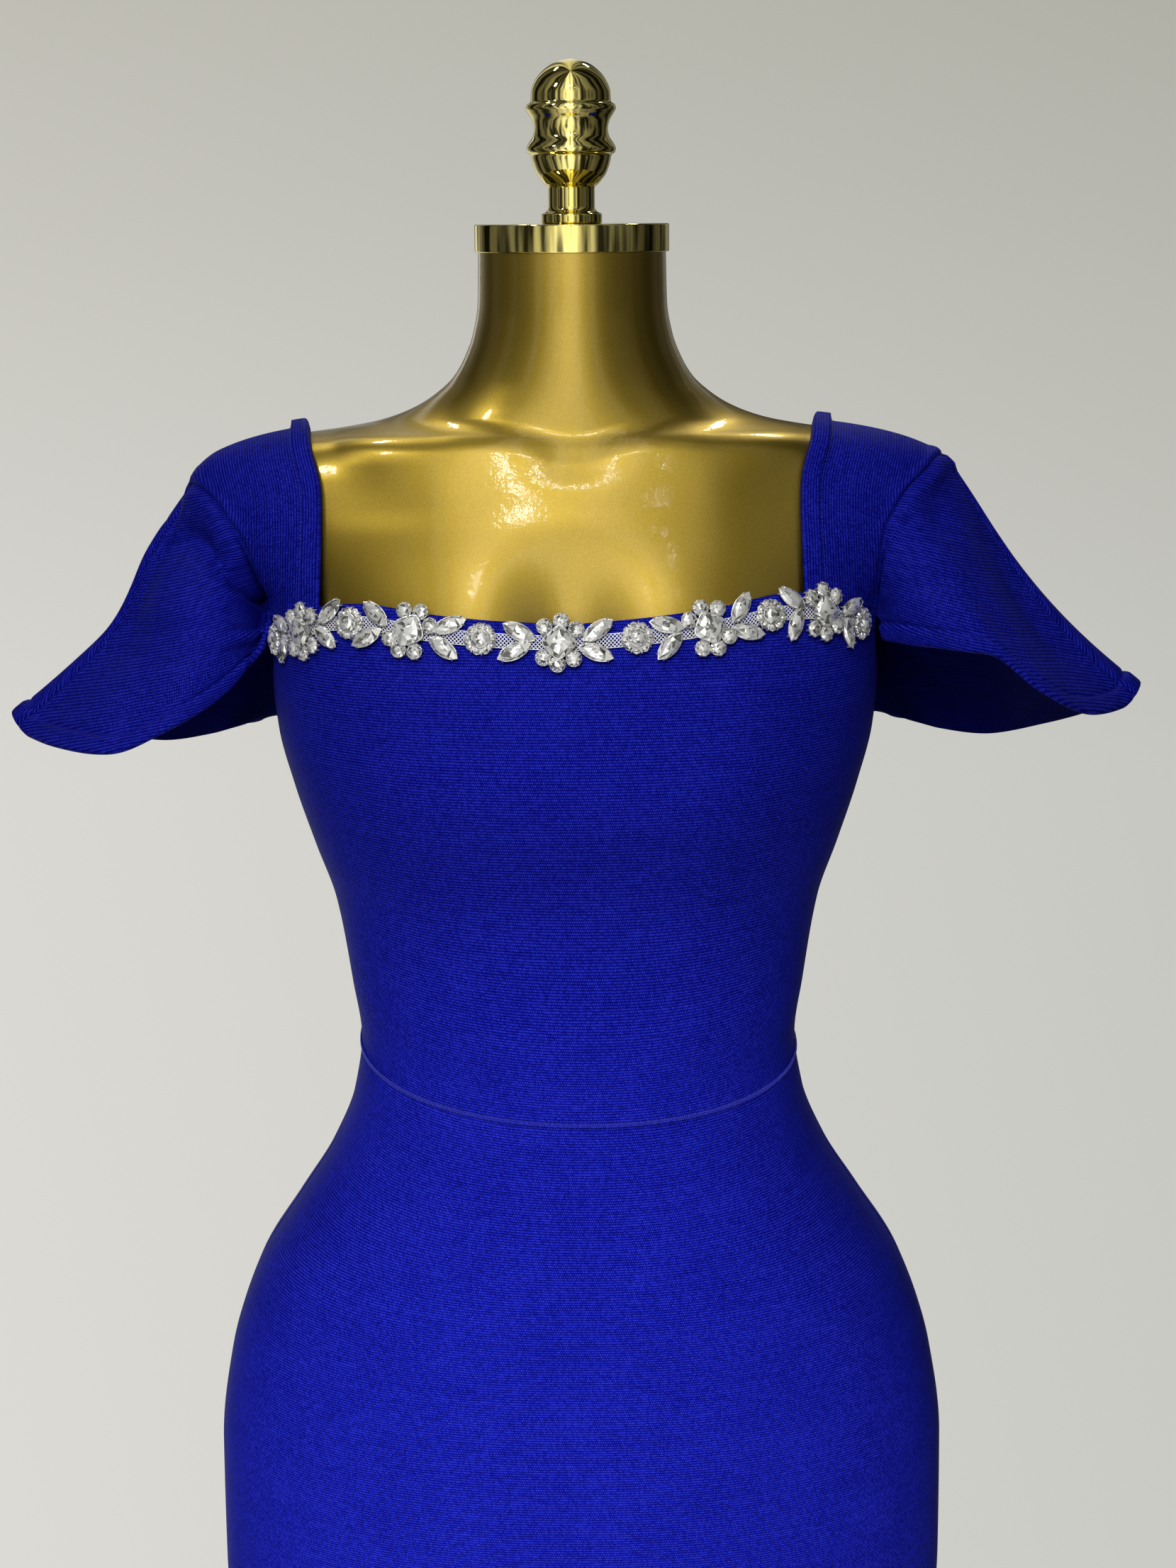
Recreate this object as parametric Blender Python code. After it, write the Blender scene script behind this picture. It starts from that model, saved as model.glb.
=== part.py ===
"""Bodycon dress with flared cap sleeves, on a limbless dress form. Metres, +Z up.

The front faces -Y and +X is the viewer's right. The origin is on the floor, at the middle of the base's underside.
The form's skin is a stack of rounded sections. Every cloth panel is a thin wall a little outside that skin, worked
out from a turn about the upright axis (0 is the front, a quarter turn is +X) and a height. What lies on a panel is
made from the same skin, moved further out.
"""

import math

import bmesh
import bpy
import numpy as np
from mathutils import Matrix, Vector

# Cloth
CLOTH_GAP = 0.0024          # skin of the form to the inside of a panel
CLOTH_WALL = 0.0018         # knit thickness
STRAP_GAP = 0.0008          # the dress hangs on the shoulders, so the straps lie closer
STRAP_WALL = 0.0024         # shoulder piece is two layers of knit
SEAM_GAP = 0.0003           # between two panels that are sewn together
SIDE_SEAM_TURN = 0.0010     # radians that a panel stops short of the side seam
TURNED_EDGE_RAISE = 0.0009  # a turned and stitched edge is this much thicker
NECK_TURN_WIDTH = 0.0095
NECK_TURN_RAISE = 0.0019
NECK_TURN_PROUD = 0.0022    # the turned edge stands up this much more on the shoulder's top
NECK_TURN_EASE = 0.16       # share of the strap over which the turned edge rises from the bodice
SLEEVE_HEM_WIDTH = 0.0105
SKIRT_HEM_WIDTH = 0.025
WAIST_ROLL_WIDTH = 0.0034
WAIST_ROLL_RAISE = 0.0017

# Heights of the dress
HEM_HEIGHT = 0.480
WAIST_HEIGHT = 1.0543       # waist seam at the sides, on average
WAIST_DIP = 0.019           # the seam dips this much at the front and rises as much at the back
WAIST_TILT = 0.0024         # and this much towards +X
UNDERARM_HEIGHT = 1.217
NECK_HEIGHT = 1.2862        # front neckline at its middle
NECK_TILT = 0.017           # the neckline rises this much per metre towards +X
NECK_SHIFT = -0.006         # the neck opening sits a little towards -X
SLEEVE_SHIFT = -0.002       # and so do the sleeves' seams
WIDER_STRAP = 0.0095        # the front of the -X strap is this much wider
BACK_NECK_HEIGHT = 1.298
ARMHOLE_FROM_CENTRE = 0.1452
BACK_ARMHOLE_FROM_CENTRE = 0.142
BACK_NECK_FROM_CENTRE = 0.112

# Form and stand
TORSO_BOTTOM = 0.700
SHOULDER_LOW = 1.338        # the shoulder line runs from the form's widest place
SHOULDER_HIGH = 1.383       # to the root of its neck
NECK_TOP = 1.4576
BUST_RISE = 0.012
BUST_HEIGHT = 1.205
BUST_FROM_CENTRE = 0.070
BUST_SPREAD = 0.046
CAP_RADIUS = 0.0478
CAP_THICKNESS = 0.0134
BASE_RADIUS = 0.190
BASE_THICKNESS = 0.010
POLE_RADIUS = 0.0135
COLLAR_RADIUS = 0.030
COLLAR_HEIGHT = 0.026
SEAT_GAP = 0.0003           # between two hard pieces that touch

SECTION_COLUMNS = ("height", "half_width", "front", "back", "squareness")
BODY_SECTIONS = (
    (0.480, 0.1600, 0.0890, 0.1030, 2.20),
    (0.560, 0.1670, 0.0910, 0.1070, 2.20),
    (0.640, 0.1760, 0.0930, 0.1110, 2.20),
    (0.700, 0.1835, 0.0955, 0.1150, 2.20),
    (0.770, 0.1885, 0.0995, 0.1200, 2.20),
    (0.837, 0.1880, 0.1035, 0.1260, 2.20),
    (0.886, 0.1815, 0.1050, 0.1285, 2.20),
    (0.934, 0.1655, 0.1030, 0.1220, 2.20),
    (0.966, 0.1455, 0.0990, 0.1110, 2.15),
    (0.997, 0.1260, 0.0930, 0.0980, 2.10),
    (1.029, 0.1130, 0.0870, 0.0860, 2.10),
    (1.060, 0.1085, 0.0835, 0.0795, 2.10),
    (1.090, 0.1125, 0.0835, 0.0795, 2.10),
    (1.136, 0.1200, 0.0880, 0.0840, 2.15),
    (1.166, 0.1300, 0.0935, 0.0885, 2.20),
    (1.196, 0.1395, 0.0985, 0.0925, 2.20),
    (1.225, 0.1465, 0.1005, 0.0950, 2.20),
    (1.250, 0.1485, 0.1000, 0.0960, 2.30),
    (1.272, 0.1475, 0.0965, 0.0955, 2.40),
    (1.290, 0.1500, 0.0915, 0.0945, 2.35),
    (1.303, 0.1590, 0.0860, 0.0925, 2.20),
    (1.315, 0.1700, 0.0800, 0.0900, 2.10),
    (1.327, 0.1830, 0.0740, 0.0860, 2.00),
    (1.338, 0.1895, 0.0680, 0.0810, 1.95),
    (1.350, 0.1862, 0.0625, 0.0755, 1.95),
    (1.357, 0.1792, 0.0595, 0.0720, 1.95),
    (1.362, 0.1685, 0.0575, 0.0695, 1.95),
    (1.3662, 0.1545, 0.0560, 0.0675, 1.95),
    (1.3692, 0.1390, 0.0548, 0.0655, 1.95),
    (1.3718, 0.1190, 0.0538, 0.0635, 1.95),
    (1.3760, 0.0966, 0.0526, 0.0605, 2.00),
    (1.3830, 0.0778, 0.0515, 0.0570, 2.00),
    (1.3900, 0.0670, 0.0507, 0.0545, 2.00),
    (1.3970, 0.0595, 0.0500, 0.0525, 2.00),
    (1.4060, 0.0540, 0.0492, 0.0508, 2.00),
    (1.4180, 0.0494, 0.0480, 0.0488, 2.00),
    (1.4330, 0.0468, 0.0466, 0.0466, 2.00),
    (1.4576, 0.0462, 0.0462, 0.0462, 2.00),
)

NECKLINE_COLUMNS = ("from_centre", "rise")
NECKLINE = (
    (0.000, 0.0000),
    (0.035, 0.0020),
    (0.070, 0.0054),
    (0.100, 0.0094),
    (0.115, 0.0086),
    (0.130, 0.0025),
    (0.145, -0.0045),
)

# A strap's edges, from the front end (-1) over the top of the shoulder (0) to the back end (1)
STRAP_COLUMNS = ("along", "neck_edge", "sleeve_edge")
STRAP_EDGES = (
    (-1.00, 0.1150, ARMHOLE_FROM_CENTRE),
    (-0.73, 0.1145, 0.1500),
    (-0.59, 0.1150, 0.1585),
    (-0.30, 0.1205, 0.1765),
    (0.00, 0.1248, 0.1845),
    (0.30, 0.1225, 0.1765),
    (0.60, 0.1160, 0.1600),
    (0.80, 0.1130, 0.1490),
    (1.00, BACK_NECK_FROM_CENTRE, BACK_ARMHOLE_FROM_CENTRE),
)

# A cap sleeve's hem, from its front corner (0) out to the tip (0.5) and back to its rear corner (1).
# bow is how far the sleeve is hollow between seam and hem. The +X sleeve's front is lifted.
HEM_COLUMNS = ("share", "out", "depth", "height_minus_x", "height_plus_x", "bow")
SLEEVE_HEM = (
    (0.00, 0.1525, -0.0370, 1.2680, 1.2690, 0.000),
    (0.10, 0.1720, -0.0610, 1.2475, 1.2695, -0.003),
    (0.20, 0.1975, -0.0750, 1.2330, 1.2680, -0.002),
    (0.30, 0.2260, -0.0710, 1.2215, 1.2480, 0.004),
    (0.40, 0.2570, -0.0450, 1.2200, 1.2325, 0.008),
    (0.46, 0.2750, -0.0200, 1.2205, 1.2310, 0.009),
    (0.50, 0.2858, -0.0020, 1.2282, 1.2390, 0.010),
    (0.60, 0.2770, 0.0310, 1.2200, 1.2240, 0.010),
    (0.70, 0.2510, 0.0590, 1.2080, 1.2090, 0.008),
    (0.80, 0.2225, 0.0760, 1.1990, 1.1995, 0.003),
    (0.90, 0.1940, 0.0720, 1.2045, 1.2045, 0.000),
    (1.00, 0.1660, 0.0400, 1.2175, 1.2175, 0.000),
)
TIP_SHARE = 0.50            # this share of the hem belongs to the front half of the strap
BACK_STRAP_SHARE = 0.80     # past it the sleeve is set to the back bodice's armhole
ARMHOLE_REACH = 0.78        # how far down that armhole the sleeve goes
SLEEVE_SEAM_STEP = 0.0013   # from the strap's edge to the middle of the sleeve's wall
SLEEVE_SEAM_RISE = 0.0021   # middle of the sleeve's wall over the strap's inside, at the seam
SLEEVE_SEAM_LAP = 0.0030    # how far the sleeve stands out over the back armhole's edge
SLEEVE_BAND_STEP = 0.04     # share of the way down over which the hem band rises
SLEEVE_HOLLOW = (0.19, 0.0, 1.25)  # a +X sleeve hangs round this point, and its hollow faces it

OVERARM_SHARE = 0.465       # the seam over the arm, between a sleeve's front and back, is at this share
OVERARM_GAP = 0.0011        # from that seam to each of the two edges, as a share
SLEEVE_SHARE_SPAN = 0.30    # metres along a sleeve, about, from its front corner to its rear one
SLEEVE_DOWN_SPAN = 0.12     # metres, about, from its seam to its hem
FOLD_FREE_DOWN = 0.10       # folds start about this share of the way down, since the seam holds the cloth

# Soft folds, each round a place on the sleeve. Lean 0 runs from seam to hem and 90 along the seam, in
# degrees. Width and length are the fold's own, and rise is how far it stands out (minus is a trough).
FOLD_COLUMNS = ("share", "down", "lean", "width", "length", "rise")
LEFT_FOLDS = (
    (0.48, 0.18, 0, 0.028, 0.024, 0.0068),
    (0.23, 0.17, -70, 0.012, 0.040, -0.0075),
    (0.34, 0.56, 96, 0.014, 0.040, -0.0040),
    (0.42, 0.72, 0, 0.020, 0.030, 0.0020),
    (0.53, 0.75, 0, 0.014, 0.035, 0.0015),
    (0.08, 0.58, 90, 0.006, 0.018, 0.0030),
    (0.66, 0.50, 0, 0.020, 0.034, -0.0040),
    (0.80, 0.60, 0, 0.022, 0.050, 0.0040),
)
RIGHT_FOLDS = (
    (0.30, 0.14, -60, 0.014, 0.030, -0.0040),
    (0.48, 0.55, 0, 0.030, 0.050, 0.0030),
    (0.425, 0.62, 0, 0.009, 0.030, -0.0030),
    (0.17, 0.52, 60, 0.014, 0.030, -0.0035),
    (0.64, 0.50, 0, 0.020, 0.034, -0.0040),
    (0.78, 0.58, 0, 0.022, 0.050, 0.0040),
)

# Trim: a net tape along the front neckline with flowers, leaf pairs and rosettes on it
TRIM_DROP = 0.0090          # middle of the tape below the neckline
TRIM_MIDDLE = -0.0070       # the middle flower's place along X
TAPE_WIDTH = 0.0075
TAPE_THICKNESS = 0.0008
TAPE_GAP = 0.0006
FLOWER_STEP = 0.0755        # between flowers at the middle, less TRIM_EASE towards the ends
TRIM_EASE = 0.0055
TRIM_REACH = 0.158          # the tape's line is worked out this far along X
END_ROSETTE_STEP = 0.0268
LEAF_LENGTH = 0.0178
LEAF_WIDTH = 0.0076
LEAF_THICKNESS = 0.0036
LEAF_POINT = 1.45           # 1 is a lozenge, 2 an oval
PETAL_ANGLES = (40, 87, 134, 226, 268, 314)
PETAL_DISTANCE = 0.0103
PETAL_RADIUS = 0.0036
FLOWER_HEART_RADIUS = 0.0064
FLOWER_THICKNESS = 0.0052
ROSETTE_RADIUS = 0.0078
ROSETTE_BEADS = 10
ROSETTE_HEART_RADIUS = 0.0044
ROSETTE_THICKNESS = 0.0046

# The flowers are sewn on by hand, each a little turned, and their leaves a little unlike
FLOWER_TURNS = (-9, -17, 0, 15, 10)
SIDE_NAMES = {-1: "minus", 1: "plus"}
RISE_NAMES = {-1: "low", 1: "high"}
LEAF_COLUMNS = ("flower", "side", "rise", "from_flower", "off_line", "tilt")
LEAVES = (
    (1, -1, -1, 0.0178, 0.0082, 48),
    (1, -1, 1, 0.0181, 0.0085, 20),
    (1, 1, -1, 0.0172, 0.0078, 33),
    (1, 1, 1, 0.0182, 0.0080, 53),
    (2, -1, -1, 0.0204, 0.0068, 36),
    (2, -1, 1, 0.0180, 0.0056, 30),
    (2, 1, -1, 0.0186, 0.0066, 22),
    (2, 1, 1, 0.0200, 0.0050, 35),
    (3, -1, -1, 0.0208, 0.0054, 27),
    (3, -1, 1, 0.0190, 0.0050, 25),
    (3, 1, -1, 0.0186, 0.0057, 24),
    (3, 1, 1, 0.0198, 0.0053, 30),
    (4, -1, -1, 0.0205, 0.0080, 30),
    (4, -1, 1, 0.0192, 0.0034, 21),
    (4, 1, -1, 0.0190, 0.0056, 37),
    (4, 1, 1, 0.0175, 0.0064, 43),
    (5, -1, -1, 0.0178, 0.0078, 62),
    (5, -1, 1, 0.0190, 0.0081, 38),
    (5, 1, -1, 0.0176, 0.0081, 56),
    (5, 1, 1, 0.0171, 0.0075, 30),
)

# Turned finial: pairs of height above the neck cap and radius
FINIAL_PROFILE = (
    (0.0000, 0.0140), (0.0006, 0.0149), (0.0045, 0.0149), (0.0059, 0.0125),
    (0.0080, 0.0114), (0.0173, 0.0114), (0.0195, 0.0135), (0.0244, 0.0172),
    (0.0302, 0.0192), (0.0330, 0.0198), (0.0342, 0.0214), (0.0360, 0.0219),
    (0.0379, 0.0211), (0.0420, 0.0186), (0.0452, 0.0180), (0.0489, 0.0187),
    (0.0532, 0.0211), (0.0550, 0.0220), (0.0569, 0.0214), (0.0580, 0.0197),
    (0.0630, 0.0193), (0.0684, 0.0172), (0.0733, 0.0131), (0.0767, 0.0078),
    (0.0786, 0.0000),
)

# Mesh counts and steps
TURN_STEP = 0.012           # radians to each side when a normal is worked out
HEIGHT_STEP = 0.0015
SLEEVE_ROWS = (0, 0.10, 0.26, 0.44, 0.62, 0.81, 1)  # shares of the way from the seam to the hem band
TORSO_COLUMNS = 32
TORSO_STRETCHES = ((TORSO_BOTTOM, 0.900, 5), (0.900, 1.210, 12), (1.210, SHOULDER_LOW, 8))
FRONT_COLUMNS = 20
BACK_COLUMNS = 18
BODICE_ROWS = 11
SKIRT_ROWS = 16
STRAP_ROWS = 16
SLEEVE_FRONT_COLUMNS = 13
SLEEVE_BACK_COLUMNS = 12
TURNED_SEGMENTS = 20
DISC_SEGMENTS = 40
TAPE_STATIONS = 40


def smooth_through(stations, values):
    """A curve through the values that never swings past them; it takes numbers or arrays."""
    x = np.array(stations, dtype=float)
    y = np.array(values, dtype=float)
    step = np.diff(x)
    slope = np.diff(y) / step
    tangent = np.zeros(len(x))
    tangent[0] = slope[0]
    tangent[-1] = slope[-1]
    for i in range(1, len(x) - 1):
        if slope[i - 1] * slope[i] > 0:
            before = 2 * step[i] + step[i - 1]
            after = step[i] + 2 * step[i - 1]
            tangent[i] = (before + after) / (before / slope[i - 1] + after / slope[i])

    def value(at):
        at = np.clip(at, x[0], x[-1])
        i = np.clip(np.searchsorted(x, at, side="right") - 1, 0, len(step) - 1)
        t = (at - x[i]) / step[i]
        keep = (1 + 2 * t) * (1 - t) ** 2 * y[i] + t * t * (3 - 2 * t) * y[i + 1]
        lean = t * (1 - t) ** 2 * tangent[i] - t * t * (1 - t) * tangent[i + 1]
        return keep + lean * step[i]

    return value


def curves_of(columns, rows):
    """One smooth curve for each named column, over the first column."""
    stations = [row[0] for row in rows]
    return {name: smooth_through(stations, [row[i] for row in rows]) for i, name in enumerate(columns) if i}


body = curves_of(SECTION_COLUMNS, BODY_SECTIONS)
neckline = curves_of(NECKLINE_COLUMNS, NECKLINE)
strap_edges = curves_of(STRAP_COLUMNS, STRAP_EDGES)
sleeve_hem = curves_of(HEM_COLUMNS, SLEEVE_HEM)


# ---------------------------------------------------------------- the form's skin

def body_surface(turn, height, bridged=True):
    """The form's skin. Bridged spans the middle of the bust, as cloth does."""
    sine, cosine = np.sin(turn), np.cos(turn)
    power = 2 / body["squareness"](height)
    depth = np.where(cosine > 0, body["front"](height), body["back"](height))
    x = body["half_width"](height) * np.sign(sine) * np.abs(sine) ** power
    facing = np.sign(cosine) * np.abs(cosine) ** power
    beside = np.abs(x) - BUST_FROM_CENTRE
    beside = np.maximum(beside, 0) if bridged else beside
    fullness = np.exp(-(beside / BUST_SPREAD) ** 2 - ((height - BUST_HEIGHT) / BUST_SPREAD) ** 2)
    y = -depth * facing - BUST_RISE * fullness * np.maximum(facing, 0)
    return np.stack([x, y, height + 0 * x], axis=-1)


def unit(vectors):
    return vectors / np.linalg.norm(vectors, axis=-1, keepdims=True)


def body_normal(turn, height):
    """Outward direction of the skin."""
    along_turn = body_surface(turn + TURN_STEP, height) - body_surface(turn - TURN_STEP, height)
    along_height = body_surface(turn, height + HEIGHT_STEP) - body_surface(turn, height - HEIGHT_STEP)
    return unit(np.cross(along_turn, along_height))


def skin(turn, height, out, bridged=True):
    """Points a distance out from the form's skin."""
    turn, height = np.broadcast_arrays(np.asarray(turn, float), np.asarray(height, float))
    out = np.broadcast_to(np.asarray(out, float), turn.shape)
    return body_surface(turn, height, bridged) + body_normal(turn, height) * out[..., None]


def turn_at(x, height):
    """Turn, in the front half, at which the skin has this X."""
    share = np.clip(np.abs(x) / body["half_width"](height), 0, 1)
    return np.sign(x) * np.arcsin(share ** (body["squareness"](height) / 2))


def neck_height(x):
    """Front neckline at this X."""
    return NECK_HEIGHT + neckline["rise"](np.abs(x)) + NECK_TILT * x


# ---------------------------------------------------------------- meshes

def finish_object(name, mesh_data, material, place=None):
    """Make a closed mesh an object of its own, with outward faces."""
    bmesh.ops.recalc_face_normals(mesh_data, faces=mesh_data.faces)
    bmesh.ops.triangulate(mesh_data, faces=mesh_data.faces, quad_method="FIXED")
    mesh = bpy.data.meshes.new(name)
    mesh_data.to_mesh(mesh)
    mesh_data.free()
    mesh.materials.append(material)
    mesh.shade_smooth()
    mesh.set_sharp_from_angle(angle=math.radians(40))
    return place_object(name, mesh, place)


def place_object(name, mesh, place=None):
    item = bpy.data.objects.new(name, mesh)
    bpy.context.scene.collection.objects.link(item)
    if place is not None:
        item.matrix_world = place
    return item


def grid_faces(mesh_data, grid):
    for low, high in zip(grid[:-1], grid[1:]):
        for i in range(len(low) - 1):
            mesh_data.faces.new((low[i], low[i + 1], high[i + 1], high[i]))


def border(grid):
    """The vertices round a grid's edge, in order."""
    right = [row[-1] for row in grid[1:-1]]
    left = [row[0] for row in grid[1:-1]]
    return grid[0] + right + grid[-1][::-1] + left[::-1]


def cloth_wall(name, outer, inner, material):
    """A closed wall between two grids of points, rows by columns."""
    mesh_data = bmesh.new()
    sides = [[[mesh_data.verts.new(point) for point in row] for row in points] for points in (outer, inner)]
    for grid in sides:
        grid_faces(mesh_data, grid)
    outside, inside = border(sides[0]), border(sides[1])
    for i in range(len(outside)):
        j = (i + 1) % len(outside)
        mesh_data.faces.new((outside[i], outside[j], inside[j], inside[i]))
    return finish_object(name, mesh_data, material)


def stacked_rings(name, rings, material, place=None):
    """A closed body through rings of points; a ring of one point closes an end to a tip."""
    mesh_data = bmesh.new()
    loops = [[mesh_data.verts.new(point) for point in ring] for ring in rings]
    for low, high in zip(loops[:-1], loops[1:]):
        count = max(len(low), len(high))
        for i in range(count):
            j = (i + 1) % count
            if len(high) == 1:
                mesh_data.faces.new((low[i], low[j], high[0]))
            elif len(low) == 1:
                mesh_data.faces.new((low[0], high[j], high[i]))
            else:
                mesh_data.faces.new((low[i], low[j], high[j], high[i]))
    for loop in (loops[0], loops[-1]):
        if len(loop) > 1:
            mesh_data.faces.new(loop)
    return finish_object(name, mesh_data, material, place)


def circle(radius, height, segments=TURNED_SEGMENTS):
    if radius == 0:
        return [(0, 0, height)]
    angles = [2 * math.pi * i / segments for i in range(segments)]
    return [(radius * math.cos(a), radius * math.sin(a), height) for a in angles]


def turned(name, profile, material, base_height, segments=TURNED_SEGMENTS):
    """A body turned about the upright axis from (radius, height) pairs."""
    rings = [circle(radius, base_height + height, segments) for radius, height in profile]
    return stacked_rings(name, rings, material)


def paint(name, colour, roughness, metallic):
    material = bpy.data.materials.new(name)
    material.use_nodes = True
    shader = material.node_tree.nodes["Principled BSDF"]
    shader.inputs["Base Color"].default_value = (*colour, 1)
    shader.inputs["Roughness"].default_value = roughness
    shader.inputs["Metallic"].default_value = metallic
    return material


# ---------------------------------------------------------------- dress: bodice and skirt

def seam_height(turn):
    """Waist seam: a tilted ring that dips at the front."""
    return WAIST_HEIGHT - WAIST_DIP * np.cos(turn) - WAIST_TILT * np.sin(turn)


def front_corner_turn(side):
    """Turn of the corner between neckline and armhole; side is -1 or 1."""
    x = side * ARMHOLE_FROM_CENTRE
    return turn_at(x, neck_height(x))


def neckline_at_turn(turn):
    """Front neckline height at a turn, found by closing in on its X."""
    height = NECK_HEIGHT + 0 * turn
    for _ in range(6):
        height = neck_height(body_surface(turn, height)[..., 0])
    return height


def front_top(turn):
    """Top edge of the front bodice: neckline, then armhole down to the side seam."""
    side = 1 if turn > 0 else -1
    corner = abs(front_corner_turn(side))
    if abs(turn) <= corner:
        return float(neckline_at_turn(np.array(turn)))
    corner_height = neck_height(side * ARMHOLE_FROM_CENTRE)
    share = (math.pi / 2 - abs(turn)) / (math.pi / 2 - corner)
    return UNDERARM_HEIGHT + (corner_height - UNDERARM_HEIGHT) * share ** 1.5


def back_corner_turn():
    return math.pi - float(turn_at(BACK_ARMHOLE_FROM_CENTRE, BACK_NECK_HEIGHT))


def back_top(turn):
    """Top edge of the back bodice at a turn between a quarter and three quarters."""
    from_side = math.pi / 2 - abs(turn - math.pi)
    corner = back_corner_turn() - math.pi / 2
    if from_side >= corner:
        return BACK_NECK_HEIGHT
    return UNDERARM_HEIGHT + (BACK_NECK_HEIGHT - UNDERARM_HEIGHT) * (from_side / corner) ** 1.5


def panel_turns(first, corners, last, columns):
    """Turns from side seam to side seam, with a column exactly on each corner."""
    stops = [first, *corners, last]
    whole = last - first
    turns = []
    for start, end in zip(stops[:-1], stops[1:]):
        count = max(3, round(columns * (end - start) / whole))
        turns += list(np.linspace(start, end, count, endpoint=False))
    return turns + [last]


def bodice_panel(name, turns, top_of, turned_from, turned_to, material):
    """A bodice half from its rolled waist seam edge up to its top edge, turned under between two turns."""
    roll = (0.0, 0.25 * WAIST_ROLL_WIDTH, 0.75 * WAIST_ROLL_WIDTH, WAIST_ROLL_WIDTH)
    roll_raise = (0.3 * WAIST_ROLL_RAISE, WAIST_ROLL_RAISE, WAIST_ROLL_RAISE, 0)
    shares = 1 - (1 - np.linspace(0, 1, BODICE_ROWS)[1:]) ** 1.2
    outer, inner = [], []
    for turn in turns:
        low = seam_height(turn) + SEAM_GAP / 2
        high = top_of(turn) - SEAM_GAP / 2
        band = high - NECK_TURN_WIDTH
        plain = [low + WAIST_ROLL_WIDTH + (band - low - WAIST_ROLL_WIDTH) * share for share in shares]
        heights = np.array([low + step for step in roll] + plain + [band + 0.0006, high])
        edge_raise = TURNED_EDGE_RAISE if turned_from < turn < turned_to else 0
        raised = np.array(list(roll_raise) + [0] * len(shares) + [edge_raise, edge_raise])
        inner.append(skin(turn, heights, CLOTH_GAP))
        outer.append(skin(turn, heights, CLOTH_GAP + CLOTH_WALL + raised))
    return cloth_wall(name, outer, inner, material)


def skirt_panel(name, turns, material):
    """A skirt half from the waist seam down to its turned hem."""
    shares = np.linspace(0, 1, SKIRT_ROWS) ** 1.4
    outer, inner = [], []
    for turn in turns:
        high = seam_height(turn) - SEAM_GAP / 2
        band = HEM_HEIGHT + SKIRT_HEM_WIDTH
        heights = np.array(list(high + (band - high) * shares) + [band - 0.0008, HEM_HEIGHT])
        raised = np.array([0] * len(shares) + [TURNED_EDGE_RAISE, TURNED_EDGE_RAISE])
        inner.append(skin(turn, heights, CLOTH_GAP))
        outer.append(skin(turn, heights, CLOTH_GAP + CLOTH_WALL + raised))
    return cloth_wall(name, outer, inner, material)


def side_turns(from_back):
    start = math.pi / 2 + SIDE_SEAM_TURN if from_back else -math.pi / 2 + SIDE_SEAM_TURN
    return start, start + math.pi - 2 * SIDE_SEAM_TURN


def build_bodice_and_skirt(knit):
    first, last = side_turns(False)
    corners = [float(front_corner_turn(-1)), float(front_corner_turn(1))]
    front = panel_turns(first, corners, last, FRONT_COLUMNS)
    bodice_panel("bodice_front", front, front_top, 0, 0, knit)
    skirt_panel("skirt_front", np.linspace(first, last, FRONT_COLUMNS + 1), knit)
    first, last = side_turns(True)
    corner = back_corner_turn()
    neck = math.pi - float(turn_at(BACK_NECK_FROM_CENTRE, BACK_NECK_HEIGHT))
    stops = [corner, neck, 2 * math.pi - neck, 2 * math.pi - corner]
    back = panel_turns(first, stops, last, BACK_COLUMNS)
    bodice_panel("bodice_back", back, back_top, neck, 2 * math.pi - neck, knit)
    skirt_panel("skirt_back", np.linspace(first, last, BACK_COLUMNS + 1), knit)


# ---------------------------------------------------------------- dress: straps and sleeves

shoulder_heights = np.linspace(SHOULDER_LOW, SHOULDER_HIGH, 400)
shoulder_widths = body["half_width"](shoulder_heights)


def shoulder_top(x):
    """Height of the shoulder line at this distance from the axis."""
    return np.interp(np.abs(x), shoulder_widths[::-1], shoulder_heights[::-1])


def over_shoulder(x, along, out):
    """Point over the shoulder at this X, from the front end (-1) over the top (0) to the back end (1)."""
    top = shoulder_top(x)
    low = np.where(along < 0, neck_height(x) + SEAM_GAP / 2, BACK_NECK_HEIGHT + SEAM_GAP / 2)
    height = top - (top - low) * along ** 2
    turn = turn_at(x, height)
    turn = np.where(along > 0, np.sign(x) * math.pi - turn, turn)
    return skin(turn, height, out)


def neck_edge_x(side, along):
    return side * strap_edges["neck_edge"](along) + NECK_SHIFT


def sleeve_edge_x(side, along):
    wider = 0
    if side < 0 and along < 0:
        wider = WIDER_STRAP * (1 - along ** 6) * (1 - math.exp(-(along / 0.3) ** 2))
    return side * (strap_edges["sleeve_edge"](along) + wider) + SLEEVE_SHIFT * (1 - along ** 2)


def strap_gap(along):
    """The strap rests on the shoulder's top and meets the bodice's wall at its ends."""
    return STRAP_GAP + (CLOTH_GAP - STRAP_GAP) * along ** 2


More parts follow.
